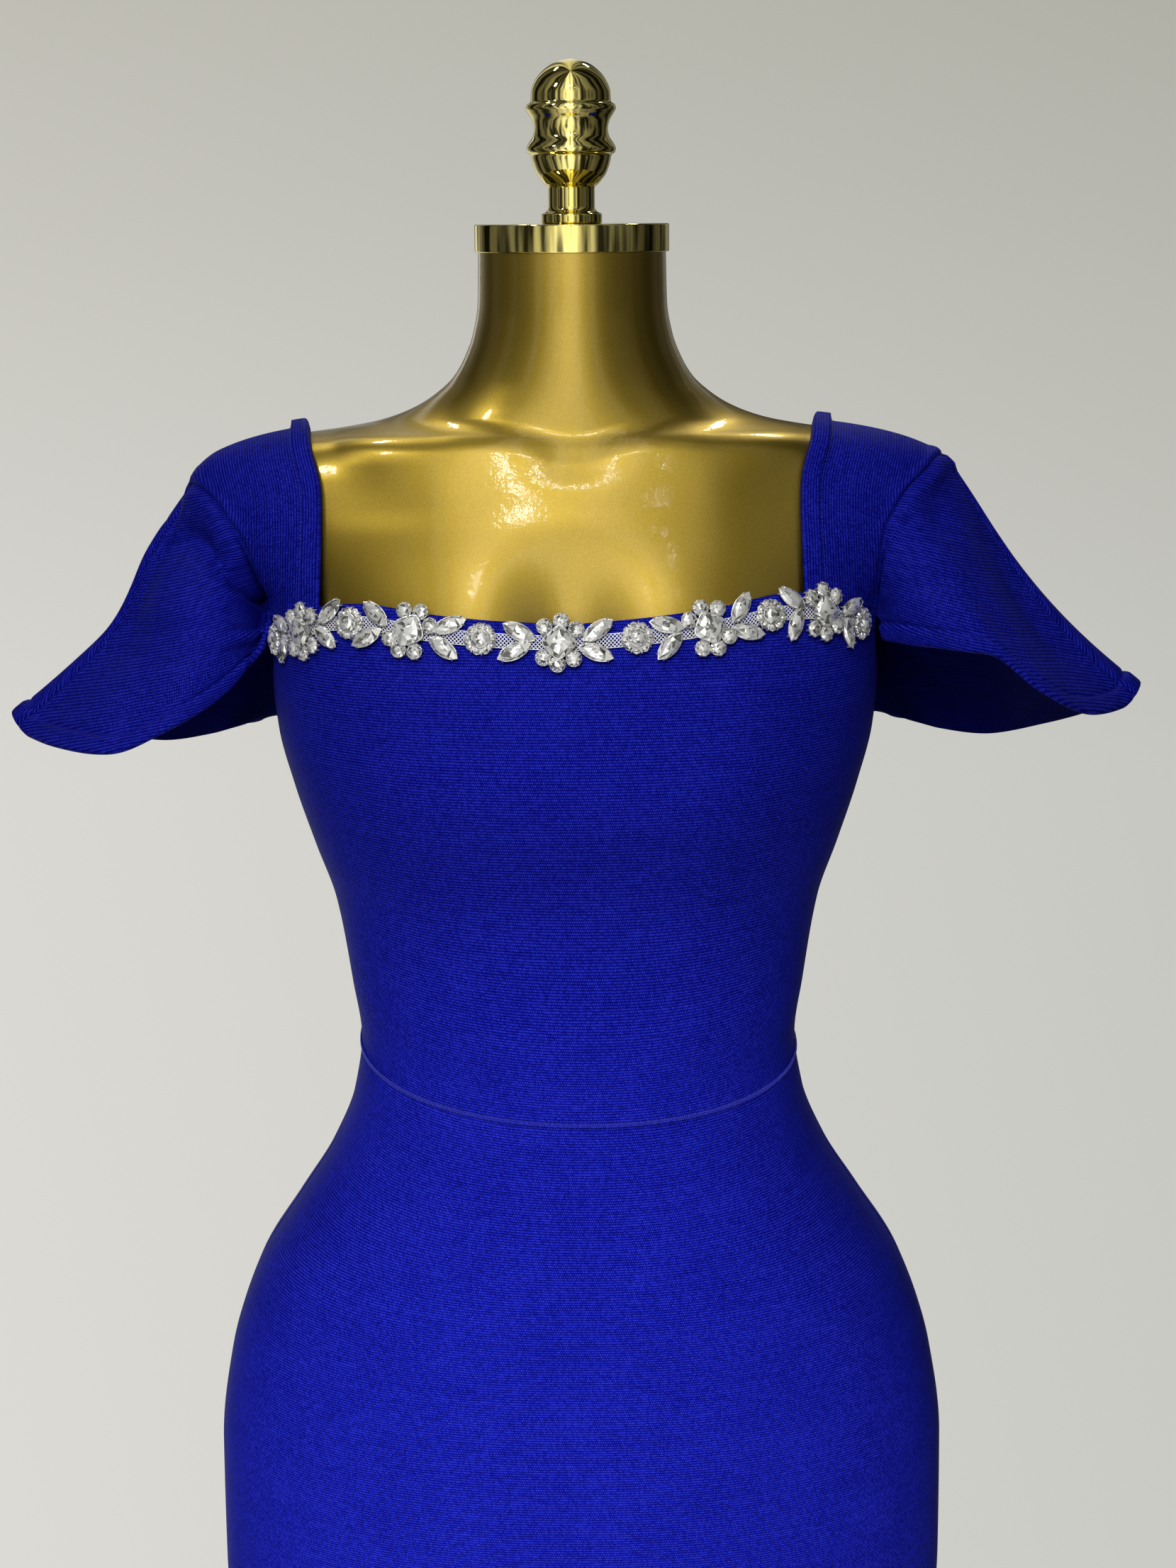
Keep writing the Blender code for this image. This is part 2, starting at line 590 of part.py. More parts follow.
def strap(side, material):
    """A shoulder piece with a turned neck edge, its rows running from front to back."""
    turned_steps = (0.0, 0.0008, 0.0030, 0.0062, 0.0085, NECK_TURN_WIDTH)
    turned_raise = (0.6, 0.9, 1.0, 1.0, 0.8, 0.0)
    shares = (0.20, 0.40, 0.58, 0.74, 0.88, 1.0)
    outer, inner = [], []
    for along in np.linspace(-1, 1, STRAP_ROWS + 1):
        start = neck_edge_x(side, along)
        panel = start + side * NECK_TURN_WIDTH
        reach = sleeve_edge_x(side, along) - panel
        x = [start + side * step for step in turned_steps] + [panel + reach * share for share in shares]
        stands = min(1.0, (1 - abs(along)) / NECK_TURN_EASE)
        ridge = NECK_TURN_RAISE * stands + NECK_TURN_PROUD * math.exp(-(along / 0.35) ** 2)
        raised = ridge * np.array(list(turned_raise) + [0] * len(shares))
        wall = CLOTH_WALL + (STRAP_WALL - CLOTH_WALL) * (1 - along ** 2)
        gap = strap_gap(along)
        inner.append(over_shoulder(np.array(x), along, gap))
        outer.append(over_shoulder(np.array(x), along, gap + wall + raised))
    return cloth_wall("strap_right" if side > 0 else "strap_left", outer, inner, material)


def sleeve_seam(side, share):
    """Middle of the sleeve's wall along the seam: over the strap's edge, then down the back armhole."""
    if share <= BACK_STRAP_SHARE:
        front_half = share <= TIP_SHARE
        along = share / TIP_SHARE - 1 if front_half else (share - TIP_SHARE) / (BACK_STRAP_SHARE - TIP_SHARE)
        x = sleeve_edge_x(side, along) + side * SLEEVE_SEAM_STEP
        return over_shoulder(x, along, strap_gap(along) + SLEEVE_SEAM_RISE)
    reach = (share - BACK_STRAP_SHARE) / (1 - BACK_STRAP_SHARE) * ARMHOLE_REACH
    corner = back_corner_turn()
    turn = corner + (math.pi / 2 - corner) * reach
    height = back_top(turn)
    edge = skin(side * turn, height, CLOTH_GAP + CLOTH_WALL / 2)
    lower = skin(side * (turn - 0.01), back_top(turn - 0.01), CLOTH_GAP + CLOTH_WALL / 2)
    outward = body_normal(side * turn, height)
    to_opening = unit(np.cross(outward, lower - edge)) * -side
    return edge + to_opening * SLEEVE_SEAM_STEP + outward * SLEEVE_SEAM_LAP


def sleeve_hem_point(side, share):
    height = "height_plus_x" if side > 0 else "height_minus_x"
    return np.array([side * sleeve_hem["out"](share), sleeve_hem["depth"](share), sleeve_hem[height](share)])


def fold_rise(folds, share, down):
    """How far the soft folds stand out at places on a sleeve; it takes arrays."""
    total = 0 * share * down
    for row in folds:
        fold = dict(zip(FOLD_COLUMNS, row))
        sideways = (share - fold["share"]) * SLEEVE_SHARE_SPAN
        downwards = (down - fold["down"]) * SLEEVE_DOWN_SPAN
        sine, cosine = math.sin(math.radians(fold["lean"])), math.cos(math.radians(fold["lean"]))
        across = (sideways * cosine - downwards * sine) / fold["width"]
        along = (sideways * sine + downwards * cosine) / fold["length"]
        total = total + fold["rise"] * np.exp(-across ** 2 - along ** 2)
    return total * (1 - np.exp(-(down / FOLD_FREE_DOWN) ** 2))


def sleeve_point(side, share, down):
    """Middle of the sleeve's wall before folds: from the seam (down 0) to the hem (down 1)."""
    seam = sleeve_seam(side, share)
    hem = sleeve_hem_point(side, share)
    inward = SLEEVE_HOLLOW * np.array([side, 1, 1]) - (seam + hem) / 2
    chord = (hem - seam) / np.linalg.norm(hem - seam)
    inward -= chord * inward.dot(chord)
    inward /= np.linalg.norm(inward)
    hollow = sleeve_hem["bow"](share) * math.sin(math.pi * down ** 1.1)
    return seam + (hem - seam) * down + inward * hollow


def grid_normals(points):
    """Normals of a grid of points by central differences."""
    return unit(np.cross(np.gradient(points, axis=0), np.gradient(points, axis=1)))


def sleeve_normals(points, side, split):
    """Outward normals of a sleeve's grid, the same on both edges of the seam over the arm."""
    normals = grid_normals(points) * -side
    normals[split - 1:split + 1] = unit(normals[split - 1] + normals[split])
    return normals


def sleeve(side, material):
    """A flared cap sleeve in two pieces, front and back, with soft folds and a turned hem."""
    front = np.linspace(0, OVERARM_SHARE - OVERARM_GAP, SLEEVE_FRONT_COLUMNS + 1)
    back = np.linspace(TIP_SHARE, 1, SLEEVE_BACK_COLUMNS + 1)
    columns = np.concatenate([front, [OVERARM_SHARE + OVERARM_GAP], back])
    split = len(front)
    downs = []
    for share in columns:
        length = np.linalg.norm(sleeve_hem_point(side, share) - sleeve_seam(side, share))
        band = 1 - min(0.75, SLEEVE_HEM_WIDTH / length)
        downs.append([step * band for step in SLEEVE_ROWS] + [band + SLEEVE_BAND_STEP, 1])
    middle = np.array([[sleeve_point(side, share, down) for down in row] for share, row in zip(columns, downs)])
    folds = fold_rise(RIGHT_FOLDS if side > 0 else LEFT_FOLDS, columns[:, None], np.array(downs))
    middle = middle + sleeve_normals(middle, side, split) * folds[..., None]
    normals = sleeve_normals(middle, side, split)
    raised = np.zeros(middle.shape[:2])
    raised[:, -2:] = TURNED_EDGE_RAISE
    outer = middle + normals * (CLOTH_WALL / 2 + raised)[..., None]
    inner = middle - normals * CLOTH_WALL / 2
    name = "sleeve_right" if side > 0 else "sleeve_left"
    cloth_wall(name + "_front", outer[:split], inner[:split], material)
    cloth_wall(name + "_back", outer[split:], inner[split:], material)


# ---------------------------------------------------------------- trim

def trim_route():
    """Fine points along the tape's middle, with their X and distance from the middle flower."""
    x = np.linspace(-TRIM_REACH, TRIM_REACH, 633)
    height = neck_height(x) - TRIM_DROP
    points = skin(turn_at(x, height), height, 0)
    distance = np.concatenate([[0], np.cumsum(np.linalg.norm(np.diff(points, axis=0), axis=1))])
    return x, distance - np.interp(TRIM_MIDDLE, x, distance)


def trim_frame(distance, out):
    """Point on the tape's line, with directions along it, across it (up) and outwards."""
    x_all, distance_all = trim_route()
    x = np.interp(distance, distance_all, x_all)
    height = neck_height(x) - TRIM_DROP
    turn = turn_at(x, height)
    outward = Vector(body_normal(turn, height))
    ahead = np.interp(distance + 0.002, distance_all, x_all)
    ahead_height = neck_height(ahead) - TRIM_DROP
    along = Vector(skin(turn_at(ahead, ahead_height), ahead_height, 0) - skin(turn, height, 0)).normalized()
    up = outward.cross(along).normalized()
    along = up.cross(outward).normalized()
    return Vector(skin(turn, height, out)), along, up, outward


def trim_place(distance, off_line, tilt, out):
    """Placing matrix of a stone: local X along the tape, Y across it, Z outwards."""
    point, along, up, outward = trim_frame(distance, out)
    rotation = Matrix((along, up, outward)).transposed().to_4x4() @ Matrix.Rotation(tilt, 4, "Z")
    return Matrix.Translation(point + up * off_line) @ rotation


def trim_station(step):
    """Distance along the tape of the flower, or half step, that is this many steps from the middle one."""
    return FLOWER_STEP * step - TRIM_EASE * step * abs(step)


def tape(material):
    under = CLOTH_GAP + CLOTH_WALL + TAPE_GAP
    half = trim_station(2) + END_ROSETTE_STEP + ROSETTE_RADIUS
    x_all, distance_all = trim_route()
    outer, inner = [], []
    for distance in np.linspace(-half, half, TAPE_STATIONS + 1):
        x = np.interp(distance, distance_all, x_all)
        heights = neck_height(x) - TRIM_DROP + np.array([-0.5, 0.5]) * TAPE_WIDTH
        inner.append(skin(turn_at(x, heights), heights, under))
        outer.append(skin(turn_at(x, heights), heights, under + TAPE_THICKNESS))
    return cloth_wall("trim_tape", outer, inner, material)


def flower_reach(angle):
    """Outline of a flower: the far side of its petals, or its heart between them."""
    reach = FLOWER_HEART_RADIUS
    for petal in PETAL_ANGLES:
        off = angle - math.radians(petal)
        sideways = PETAL_DISTANCE * math.sin(off)
        if abs(sideways) < PETAL_RADIUS and math.cos(off) > 0:
            reach = max(reach, PETAL_DISTANCE * math.cos(off) + math.sqrt(PETAL_RADIUS ** 2 - sideways ** 2))
    return reach


def rosette_reach(angle):
    return ROSETTE_RADIUS * (0.94 + 0.06 * math.cos(ROSETTE_BEADS * angle))


def leaf_reach(angle):
    """Outline of a pointed oval, in polar form."""
    across, along = abs(math.sin(angle)), abs(math.cos(angle))
    half_length, half_width = LEAF_LENGTH / 2, LEAF_WIDTH / 2
    return 1 / ((along / half_length) ** LEAF_POINT + (across / half_width) ** LEAF_POINT) ** (1 / LEAF_POINT)


def domed(name, reach, levels, segments, place, material):
    """A raised stone or flower: rings of its outline at (scale, fixed radius, height) levels."""
    angles = [2 * math.pi * i / segments for i in range(segments)]
    rings = []
    for scale, heart, height in levels:
        radii = [heart if heart else scale * reach(a) for a in angles]
        rings.append([(r * math.cos(a), r * math.sin(a), height) for r, a in zip(radii, angles)])
    return stacked_rings(name, rings, material, place)


def build_trim(net, crystal):
    tape(net)
    seat = CLOTH_GAP + CLOTH_WALL + TAPE_GAP + TAPE_THICKNESS + SEAM_GAP
    flower_levels = (
        (0.92, 0, 0),
        (1.00, 0, 0.28 * FLOWER_THICKNESS),
        (0.86, 0, 0.56 * FLOWER_THICKNESS),
        (0, FLOWER_HEART_RADIUS * 0.88, 0.60 * FLOWER_THICKNESS),
        (0, FLOWER_HEART_RADIUS * 0.55, FLOWER_THICKNESS),
    )
    rosette_levels = (
        (0.92, 0, 0),
        (1.00, 0, 0.30 * ROSETTE_THICKNESS),
        (0.80, 0, 0.62 * ROSETTE_THICKNESS),
        (0, ROSETTE_HEART_RADIUS * 0.6, ROSETTE_THICKNESS),
    )
    leaf_levels = ((0.9, 0, 0), (1.0, 0, 0.4 * LEAF_THICKNESS), (0.5, 0, LEAF_THICKNESS))
    end = trim_station(2) + END_ROSETTE_STEP
    rosettes = [-end, end] + [trim_station(step + 0.5) for step in range(-2, 2)]
    for number, distance in enumerate(sorted(rosettes), 1):
        place = trim_place(distance, 0, 0, seat)
        domed(f"trim_rosette_{number}", rosette_reach, rosette_levels, 2 * ROSETTE_BEADS, place, crystal)
    for number, turned_by in enumerate(FLOWER_TURNS, 1):
        place = trim_place(trim_station(number - 3), 0, math.radians(turned_by), seat)
        domed(f"trim_flower_{number}", flower_reach, flower_levels, 24, place, crystal)
    for row in LEAVES:
        leaf = dict(zip(LEAF_COLUMNS, row))
        side, rise = leaf["side"], leaf["rise"]
        middle = trim_station(leaf["flower"] - 3) + side * leaf["from_flower"]
        tilt = side * rise * math.radians(leaf["tilt"])
        name = f"trim_leaf_{leaf['flower']}_{SIDE_NAMES[side]}_{RISE_NAMES[rise]}"
        place = trim_place(middle, rise * leaf["off_line"], tilt, seat)
        domed(name, leaf_reach, leaf_levels, 8, place, crystal)


# ---------------------------------------------------------------- form and stand

def torso(material):
    """The limbless body, a closed solid from its flat bottom to the top of the neck."""
    heights = [h for low, high, count in TORSO_STRETCHES for h in np.linspace(low, high, count, endpoint=False)]
    heights += [row[0] for row in BODY_SECTIONS if row[0] >= SHOULDER_LOW]
    turns = np.linspace(0, 2 * math.pi, TORSO_COLUMNS, endpoint=False)
    rings = [skin(turns, height, 0, bridged=False) for height in heights]
    return stacked_rings("form_torso", rings, material)


def rounded_disc(radius, low, high, edge):
    """Profile of a disc with rounded rims."""
    return [(radius - edge, low), (radius, low + edge), (radius, high - edge), (radius - edge, high)]


def build_form(gold_paint, gold_metal):
    torso(gold_paint)
    cap_bottom = NECK_TOP + SEAT_GAP
    turned("form_neck_cap", rounded_disc(CAP_RADIUS, 0, CAP_THICKNESS, 0.0008), gold_metal, cap_bottom, DISC_SEGMENTS)
    finial_bottom = cap_bottom + CAP_THICKNESS + SEAT_GAP
    turned("form_finial", [(radius, height) for height, radius in FINIAL_PROFILE], gold_metal, finial_bottom)
    turned("form_base", rounded_disc(BASE_RADIUS, 0, BASE_THICKNESS, 0.0025), gold_metal, 0, DISC_SEGMENTS)
    pole_bottom = BASE_THICKNESS + SEAT_GAP
    pole_top = TORSO_BOTTOM - SEAT_GAP
    turned("form_pole", [(POLE_RADIUS, pole_bottom), (POLE_RADIUS, pole_top)], gold_metal, 0)
    collar(gold_metal)


def collar(material):
    """A ring round the pole's foot; its profile runs once round, so it closes on itself."""
    bore = POLE_RADIUS + SEAT_GAP
    low = BASE_THICKNESS + SEAT_GAP
    high = low + COLLAR_HEIGHT
    profile = [
        (bore, low), (COLLAR_RADIUS, low), (COLLAR_RADIUS, low + 0.006),
        (COLLAR_RADIUS * 0.72, high - 0.004), (COLLAR_RADIUS * 0.66, high), (bore, high),
    ]
    mesh_data = bmesh.new()
    loops = [[mesh_data.verts.new(point) for point in circle(radius, height)] for radius, height in profile]
    for low_loop, high_loop in zip(loops, loops[1:] + loops[:1]):
        for i in range(TURNED_SEGMENTS):
            j = (i + 1) % TURNED_SEGMENTS
            mesh_data.faces.new((low_loop[i], low_loop[j], high_loop[j], high_loop[i]))
    return finish_object("form_collar", mesh_data, material)


def main():
    for item in list(bpy.data.objects):
        bpy.data.objects.remove(item, do_unlink=True)
    knit = paint("royal_blue_knit", (0.012, 0.02, 0.42), 0.75, 0)
    net = paint("silver_net", (0.75, 0.76, 0.78), 0.45, 0)
    crystal = paint("clear_crystal", (0.82, 0.84, 0.86), 0.05, 0)
    gold_paint = paint("gold_paint", (0.55, 0.36, 0.08), 0.28, 0.85)
    gold_metal = paint("polished_gold", (0.85, 0.62, 0.22), 0.08, 1)
    build_form(gold_paint, gold_metal)
    build_bodice_and_skirt(knit)
    for side in (-1, 1):
        strap(side, knit)
        sleeve(side, knit)
    build_trim(net, crystal)


main()
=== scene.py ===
import math
from functools import partial

import bpy
import numpy as np
from mathutils import Matrix, Quaternion, Vector


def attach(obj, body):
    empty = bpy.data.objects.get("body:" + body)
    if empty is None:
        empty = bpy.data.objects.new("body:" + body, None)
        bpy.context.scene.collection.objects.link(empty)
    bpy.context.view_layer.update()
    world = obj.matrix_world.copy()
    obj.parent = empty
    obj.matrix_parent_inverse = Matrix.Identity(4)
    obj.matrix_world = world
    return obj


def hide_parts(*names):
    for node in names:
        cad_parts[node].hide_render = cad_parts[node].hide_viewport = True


# Looks of a bodycon dress with flared cap sleeves on a gold dress form. Metres, +Z up; the front faces -Y.
# The form's skin and the dress's cutting lines are worked out as the solids' are, on much finer grids.

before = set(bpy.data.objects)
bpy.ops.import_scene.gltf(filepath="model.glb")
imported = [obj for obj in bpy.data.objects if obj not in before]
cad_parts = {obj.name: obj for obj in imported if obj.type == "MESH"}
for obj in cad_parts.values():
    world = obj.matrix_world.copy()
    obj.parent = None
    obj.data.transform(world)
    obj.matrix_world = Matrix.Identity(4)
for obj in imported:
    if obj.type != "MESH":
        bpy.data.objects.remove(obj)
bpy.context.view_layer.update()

# ---------------------------------------------------------------- sizes

SIDE_WORDS = {-1: "left", 1: "right"}

CLOTH_GAP = 0.0024
CLOTH_WALL = 0.0018
STRAP_GAP = 0.0008
STRAP_WALL = 0.0024
SEAM_GAP = 0.0003
SEAM_SINK = 0.0007          # of the cloth beside its side and waist seams
CLEAR_OF_FORM = 0.0004
NECK_TURN_WIDTH = 0.0095
NECK_TURN_RAISE = 0.0019
NECK_TURN_PROUD = 0.0022
NECK_TURN_EASE = 0.16
TURNED_EDGE_RAISE = 0.0009
TURNED_EDGE_GROOVE = 0.0006     # where it is stitched down
SLEEVE_HEM_GROOVE = 0.0008
SLEEVE_HEM_WIDTH = 0.0105
SKIRT_HEM_WIDTH = 0.025
WAIST_ROLL_WIDTH = 0.0030
WAIST_ROLL_RAISE = 0.0008

HEM_HEIGHT = 0.480
WAIST_HEIGHT = 1.0543
WAIST_DIP = 0.019
WAIST_TILT = 0.0024
UNDERARM_HEIGHT = 1.217
NECK_HEIGHT = 1.2862
NECK_TILT = 0.017
NECK_SHIFT = -0.006
SLEEVE_SHIFT = -0.002
WIDER_STRAP = 0.0095
STRAP_PEAK = 0.0042
BACK_NECK_HEIGHT = 1.298
ARMHOLE_FROM_CENTRE = 0.1452
BACK_ARMHOLE_FROM_CENTRE = 0.142
BACK_NECK_FROM_CENTRE = 0.112

TORSO_BOTTOM = 0.700
NECK_TOP = 1.4576
SHOULDER_LOW = 1.338
SHOULDER_HIGH = 1.383
BUST_RISE = 0.012
BUST_HEIGHT = 1.205
BUST_FROM_CENTRE = 0.070
BUST_SPREAD = 0.046
CAP_RADIUS = 0.0478
CAP_THICKNESS = 0.0134
BASE_RADIUS = 0.190
BASE_THICKNESS = 0.010
POLE_RADIUS = 0.0135
COLLAR_RADIUS = 0.030
COLLAR_HEIGHT = 0.026

SECTION_COLUMNS = ("height", "half_width", "front", "back", "squareness")
BODY_SECTIONS = (
    (0.480, 0.1600, 0.0890, 0.1030, 2.20),
    (0.560, 0.1670, 0.0910, 0.1070, 2.20),
    (0.640, 0.1760, 0.0930, 0.1110, 2.20),
    (0.700, 0.1835, 0.0955, 0.1150, 2.20),
    (0.770, 0.1885, 0.0995, 0.1200, 2.20),
    (0.837, 0.1880, 0.1035, 0.1260, 2.20),
    (0.886, 0.1815, 0.1050, 0.1285, 2.20),
    (0.934, 0.1655, 0.1030, 0.1220, 2.20),
    (0.966, 0.1455, 0.0990, 0.1110, 2.15),
    (0.997, 0.1260, 0.0930, 0.0980, 2.10),
    (1.029, 0.1130, 0.0870, 0.0860, 2.10),
    (1.060, 0.1085, 0.0835, 0.0795, 2.10),
    (1.090, 0.1125, 0.0835, 0.0795, 2.10),
    (1.136, 0.1200, 0.0880, 0.0840, 2.15),
    (1.166, 0.1300, 0.0935, 0.0885, 2.20),
    (1.196, 0.1395, 0.0985, 0.0925, 2.20),
    (1.225, 0.1465, 0.1005, 0.0950, 2.20),
    (1.250, 0.1485, 0.1000, 0.0960, 2.30),
    (1.272, 0.1475, 0.0965, 0.0955, 2.40),
    (1.290, 0.1500, 0.0915, 0.0945, 2.35),
    (1.303, 0.1590, 0.0860, 0.0925, 2.20),
    (1.315, 0.1700, 0.0800, 0.0900, 2.10),
    (1.327, 0.1830, 0.0740, 0.0860, 2.00),
    (1.338, 0.1895, 0.0680, 0.0810, 1.95),
    (1.350, 0.1862, 0.0625, 0.0755, 1.95),
    (1.357, 0.1792, 0.0595, 0.0720, 1.95),
    (1.362, 0.1685, 0.0575, 0.0695, 1.95),
    (1.3662, 0.1545, 0.0560, 0.0675, 1.95),
    (1.3692, 0.1390, 0.0548, 0.0655, 1.95),
    (1.3718, 0.1190, 0.0538, 0.0635, 1.95),
    (1.3760, 0.0966, 0.0526, 0.0605, 2.00),
    (1.3830, 0.0778, 0.0515, 0.0570, 2.00),
    (1.3900, 0.0670, 0.0507, 0.0545, 2.00),
    (1.3970, 0.0595, 0.0500, 0.0525, 2.00),
    (1.4060, 0.0540, 0.0492, 0.0508, 2.00),
    (1.4180, 0.0494, 0.0480, 0.0488, 2.00),
    (1.4330, 0.0468, 0.0466, 0.0466, 2.00),
    (1.4576, 0.0462, 0.0462, 0.0462, 2.00),
)

NECKLINE_COLUMNS = ("from_centre", "rise")
NECKLINE = (
    (0.000, 0.0000), (0.035, 0.0020), (0.070, 0.0054), (0.100, 0.0094),
    (0.115, 0.0086), (0.130, 0.0025), (0.145, -0.0045),
)

STRAP_COLUMNS = ("along", "neck_edge", "sleeve_edge")
STRAP_EDGES = (
    (-1.00, 0.1150, ARMHOLE_FROM_CENTRE),
    (-0.73, 0.1145, 0.1500),
    (-0.59, 0.1150, 0.1585),
    (-0.30, 0.1205, 0.1765),
    (0.00, 0.1248, 0.1845),
    (0.12, 0.1270, 0.1828),
    (0.30, 0.1284, 0.1765),
    (0.60, 0.1205, 0.1600),
    (0.80, 0.1145, 0.1490),
    (1.00, BACK_NECK_FROM_CENTRE, BACK_ARMHOLE_FROM_CENTRE),
)

HEM_COLUMNS = ("share", "out", "depth", "height_minus_x", "height_plus_x", "bow")
SLEEVE_HEM = (
    (0.00, 0.1525, -0.0370, 1.2680, 1.2690, 0.000),
    (0.10, 0.1720, -0.0610, 1.2475, 1.2695, -0.003),
    (0.20, 0.1975, -0.0750, 1.2330, 1.2680, -0.002),
    (0.30, 0.2260, -0.0710, 1.2215, 1.2480, 0.004),
    (0.40, 0.2570, -0.0450, 1.2200, 1.2325, 0.008),
    (0.46, 0.2750, -0.0200, 1.2205, 1.2310, 0.009),
    (0.50, 0.2858, -0.0020, 1.2282, 1.2390, 0.010),
    (0.60, 0.2770, 0.0310, 1.2200, 1.2240, 0.010),
    (0.70, 0.2510, 0.0590, 1.2080, 1.2090, 0.008),
    (0.80, 0.2225, 0.0760, 1.1990, 1.1995, 0.003),
    (0.90, 0.1940, 0.0720, 1.2045, 1.2045, 0.000),
    (1.00, 0.1660, 0.0400, 1.2175, 1.2175, 0.000),
)
TIP_SHARE = 0.50
BACK_STRAP_SHARE = 0.80
ARMHOLE_REACH = 0.78
SLEEVE_SEAM_STEP = 0.0013
SLEEVE_SEAM_RISE = 0.0021
SLEEVE_SEAM_LAP = 0.0030
SLEEVE_HOLLOW = (0.19, 0.0, 1.25)

OVERARM_SHARE = 0.478
OVERARM_GAP = 0.0001
SLEEVE_SHARE_SPAN = 0.30
SLEEVE_DOWN_SPAN = 0.12
FOLD_FREE_DOWN = 0.10
PIPING_RAISE = 0.0013       # of a strap's edge where the sleeve is sewn under it
SEAM_PUFF = 0.0013          # of a sleeve below that edge
OVERARM_PUFF = 0.0006
OVERARM_GROOVE = 0.0004
SLEEVE_TUCKS = (0.0030, 0.0015)     # how far in under that edge the sleeve's first two rows lie
TUCK_SINK = 0.0008
FRONT_RIB_SLOPE = 0.27      # the ribs fall towards the arm
BACK_RIB_SLOPE = 0.62

# Soft folds of the -X and +X sleeves: place, lean in degrees, size, and how far each stands out
FOLD_COLUMNS = ("share", "down", "lean", "width", "length", "rise")
LEFT_FOLDS = (
    (0.48, 0.18, 0, 0.028, 0.024, 0.0068),
    (0.24, 0.17, 90, 0.0090, 0.052, -0.0115),
    (0.27, 0.42, 90, 0.0130, 0.045, 0.0030),
    (0.34, 0.56, 96, 0.014, 0.040, -0.0040),
    (0.42, 0.72, 0, 0.020, 0.030, 0.0020),
    (0.53, 0.75, 0, 0.014, 0.035, 0.0015),
    (0.08, 0.58, 90, 0.006, 0.018, 0.0030),
    (0.66, 0.50, 0, 0.020, 0.034, -0.0040),
    (0.80, 0.60, 0, 0.022, 0.050, 0.0040),
)
RIGHT_FOLDS = (
    (0.30, 0.14, -60, 0.014, 0.030, -0.0040),
    (0.48, 0.55, 0, 0.030, 0.050, 0.0030),
    (0.425, 0.62, 0, 0.009, 0.030, -0.0030),
    (0.17, 0.52, 60, 0.014, 0.030, -0.0035),
    (0.64, 0.50, 0, 0.020, 0.034, -0.0040),
    (0.78, 0.58, 0, 0.022, 0.050, 0.0040),
)

TRIM_DROP = 0.0090
TRIM_MIDDLE = -0.0070
TRIM_REACH = 0.158
TAPE_WIDTH = 0.0075
TAPE_THICKNESS = 0.0008
TAPE_GAP = 0.0006
FLOWER_STEP = 0.0755
TRIM_EASE = 0.0055
END_ROSETTE_STEP = 0.0268
LEAF_LENGTH = 0.0178
LEAF_WIDTH = 0.0076
LEAF_THICKNESS = 0.0036
LEAF_POINT = 1.72           # 1 is a lozenge, 2 an oval
PETAL_ANGLES = (40, 87, 134, 226, 268, 314)
PETAL_DISTANCE = 0.0103
PETAL_RADIUS = 0.0040
FLOWER_HEART_RADIUS = 0.0069
ROSETTE_RADIUS = 0.0078
ROSETTE_BEADS = 9
ROSETTE_HEART_RADIUS = 0.0044
ROSETTE_THICKNESS = 0.0046
ROSETTE_BEAD = 0.0041
CLAW_THICKNESS = 0.0009
NET_CELL = 0.0018
NET_THREAD_RADIUS = 0.00023
NET_HALF_WIDTH = 0.41       # of the tape's width, to the middle of its edge cords

# The flowers are sewn on by hand, each a little turned, and their leaves a little unlike
FLOWER_TURNS = (-9, -17, 0, 15, 10)
LEAF_SIDES = {-1: "minus", 1: "plus"}
LEAF_RISES = {-1: "low", 1: "high"}
LEAF_COLUMNS = ("flower", "side", "rise", "from_flower", "off_line", "tilt")
LEAVES = (
    (1, -1, -1, 0.0166, 0.0054, 45),
    (1, -1, 1, 0.0166, 0.0070, 24),
    (1, 1, -1, 0.0150, 0.0062, 36),
    (1, 1, 1, 0.0174, 0.0058, 40),
    (2, -1, -1, 0.0204, 0.0066, 34),
    (2, -1, 1, 0.0180, 0.0052, 32),
    (2, 1, -1, 0.0172, 0.0060, 30),
    (2, 1, 1, 0.0182, 0.0050, 25),
    (3, -1, -1, 0.0205, 0.0050, 27),
    (3, -1, 1, 0.0188, 0.0044, 25),
    (3, 1, -1, 0.0168, 0.0052, 24),
    (3, 1, 1, 0.0184, 0.0053, 30),
    (4, -1, -1, 0.0195, 0.0058, 40),
    (4, -1, 1, 0.0192, 0.0044, 17),
    (4, 1, -1, 0.0174, 0.0052, 22),
    (4, 1, 1, 0.0174, 0.0068, 45),
    (5, -1, -1, 0.0162, 0.0060, 64),
    (5, -1, 1, 0.0168, 0.0066, 38),
    (5, 1, -1, 0.0166, 0.0062, 54),
    (5, 1, 1, 0.0166, 0.0064, 30),
)

# Pairs of height above the neck disc and radius
FINIAL_PROFILE = (
    (0.0000, 0.0140), (0.0006, 0.0149), (0.0045, 0.0149), (0.0059, 0.0125),
    (0.0080, 0.0114), (0.0173, 0.0114), (0.0195, 0.0135), (0.0244, 0.0172),
    (0.0302, 0.0192), (0.0330, 0.0198), (0.0342, 0.0214), (0.0360, 0.0219),
    (0.0379, 0.0211), (0.0420, 0.0186), (0.0452, 0.0180), (0.0489, 0.0187),
    (0.0532, 0.0211), (0.0550, 0.0220), (0.0569, 0.0214), (0.0580, 0.0197),
    (0.0630, 0.0193), (0.0684, 0.0172), (0.0733, 0.0131), (0.0767, 0.0078),
    (0.0786, 0.0000),
)

# Knit
COURSE = 0.00132            # between two ribs of the knit
WALE = 0.00086              # between two stitches along a rib
RIB_WANDER = 0.3
RIB_ROUNDNESS = 0.7
STITCH_SHARPNESS = 1.4
STITCH_SHARE = 0.65         # of a rib's height that falls away between two stitches

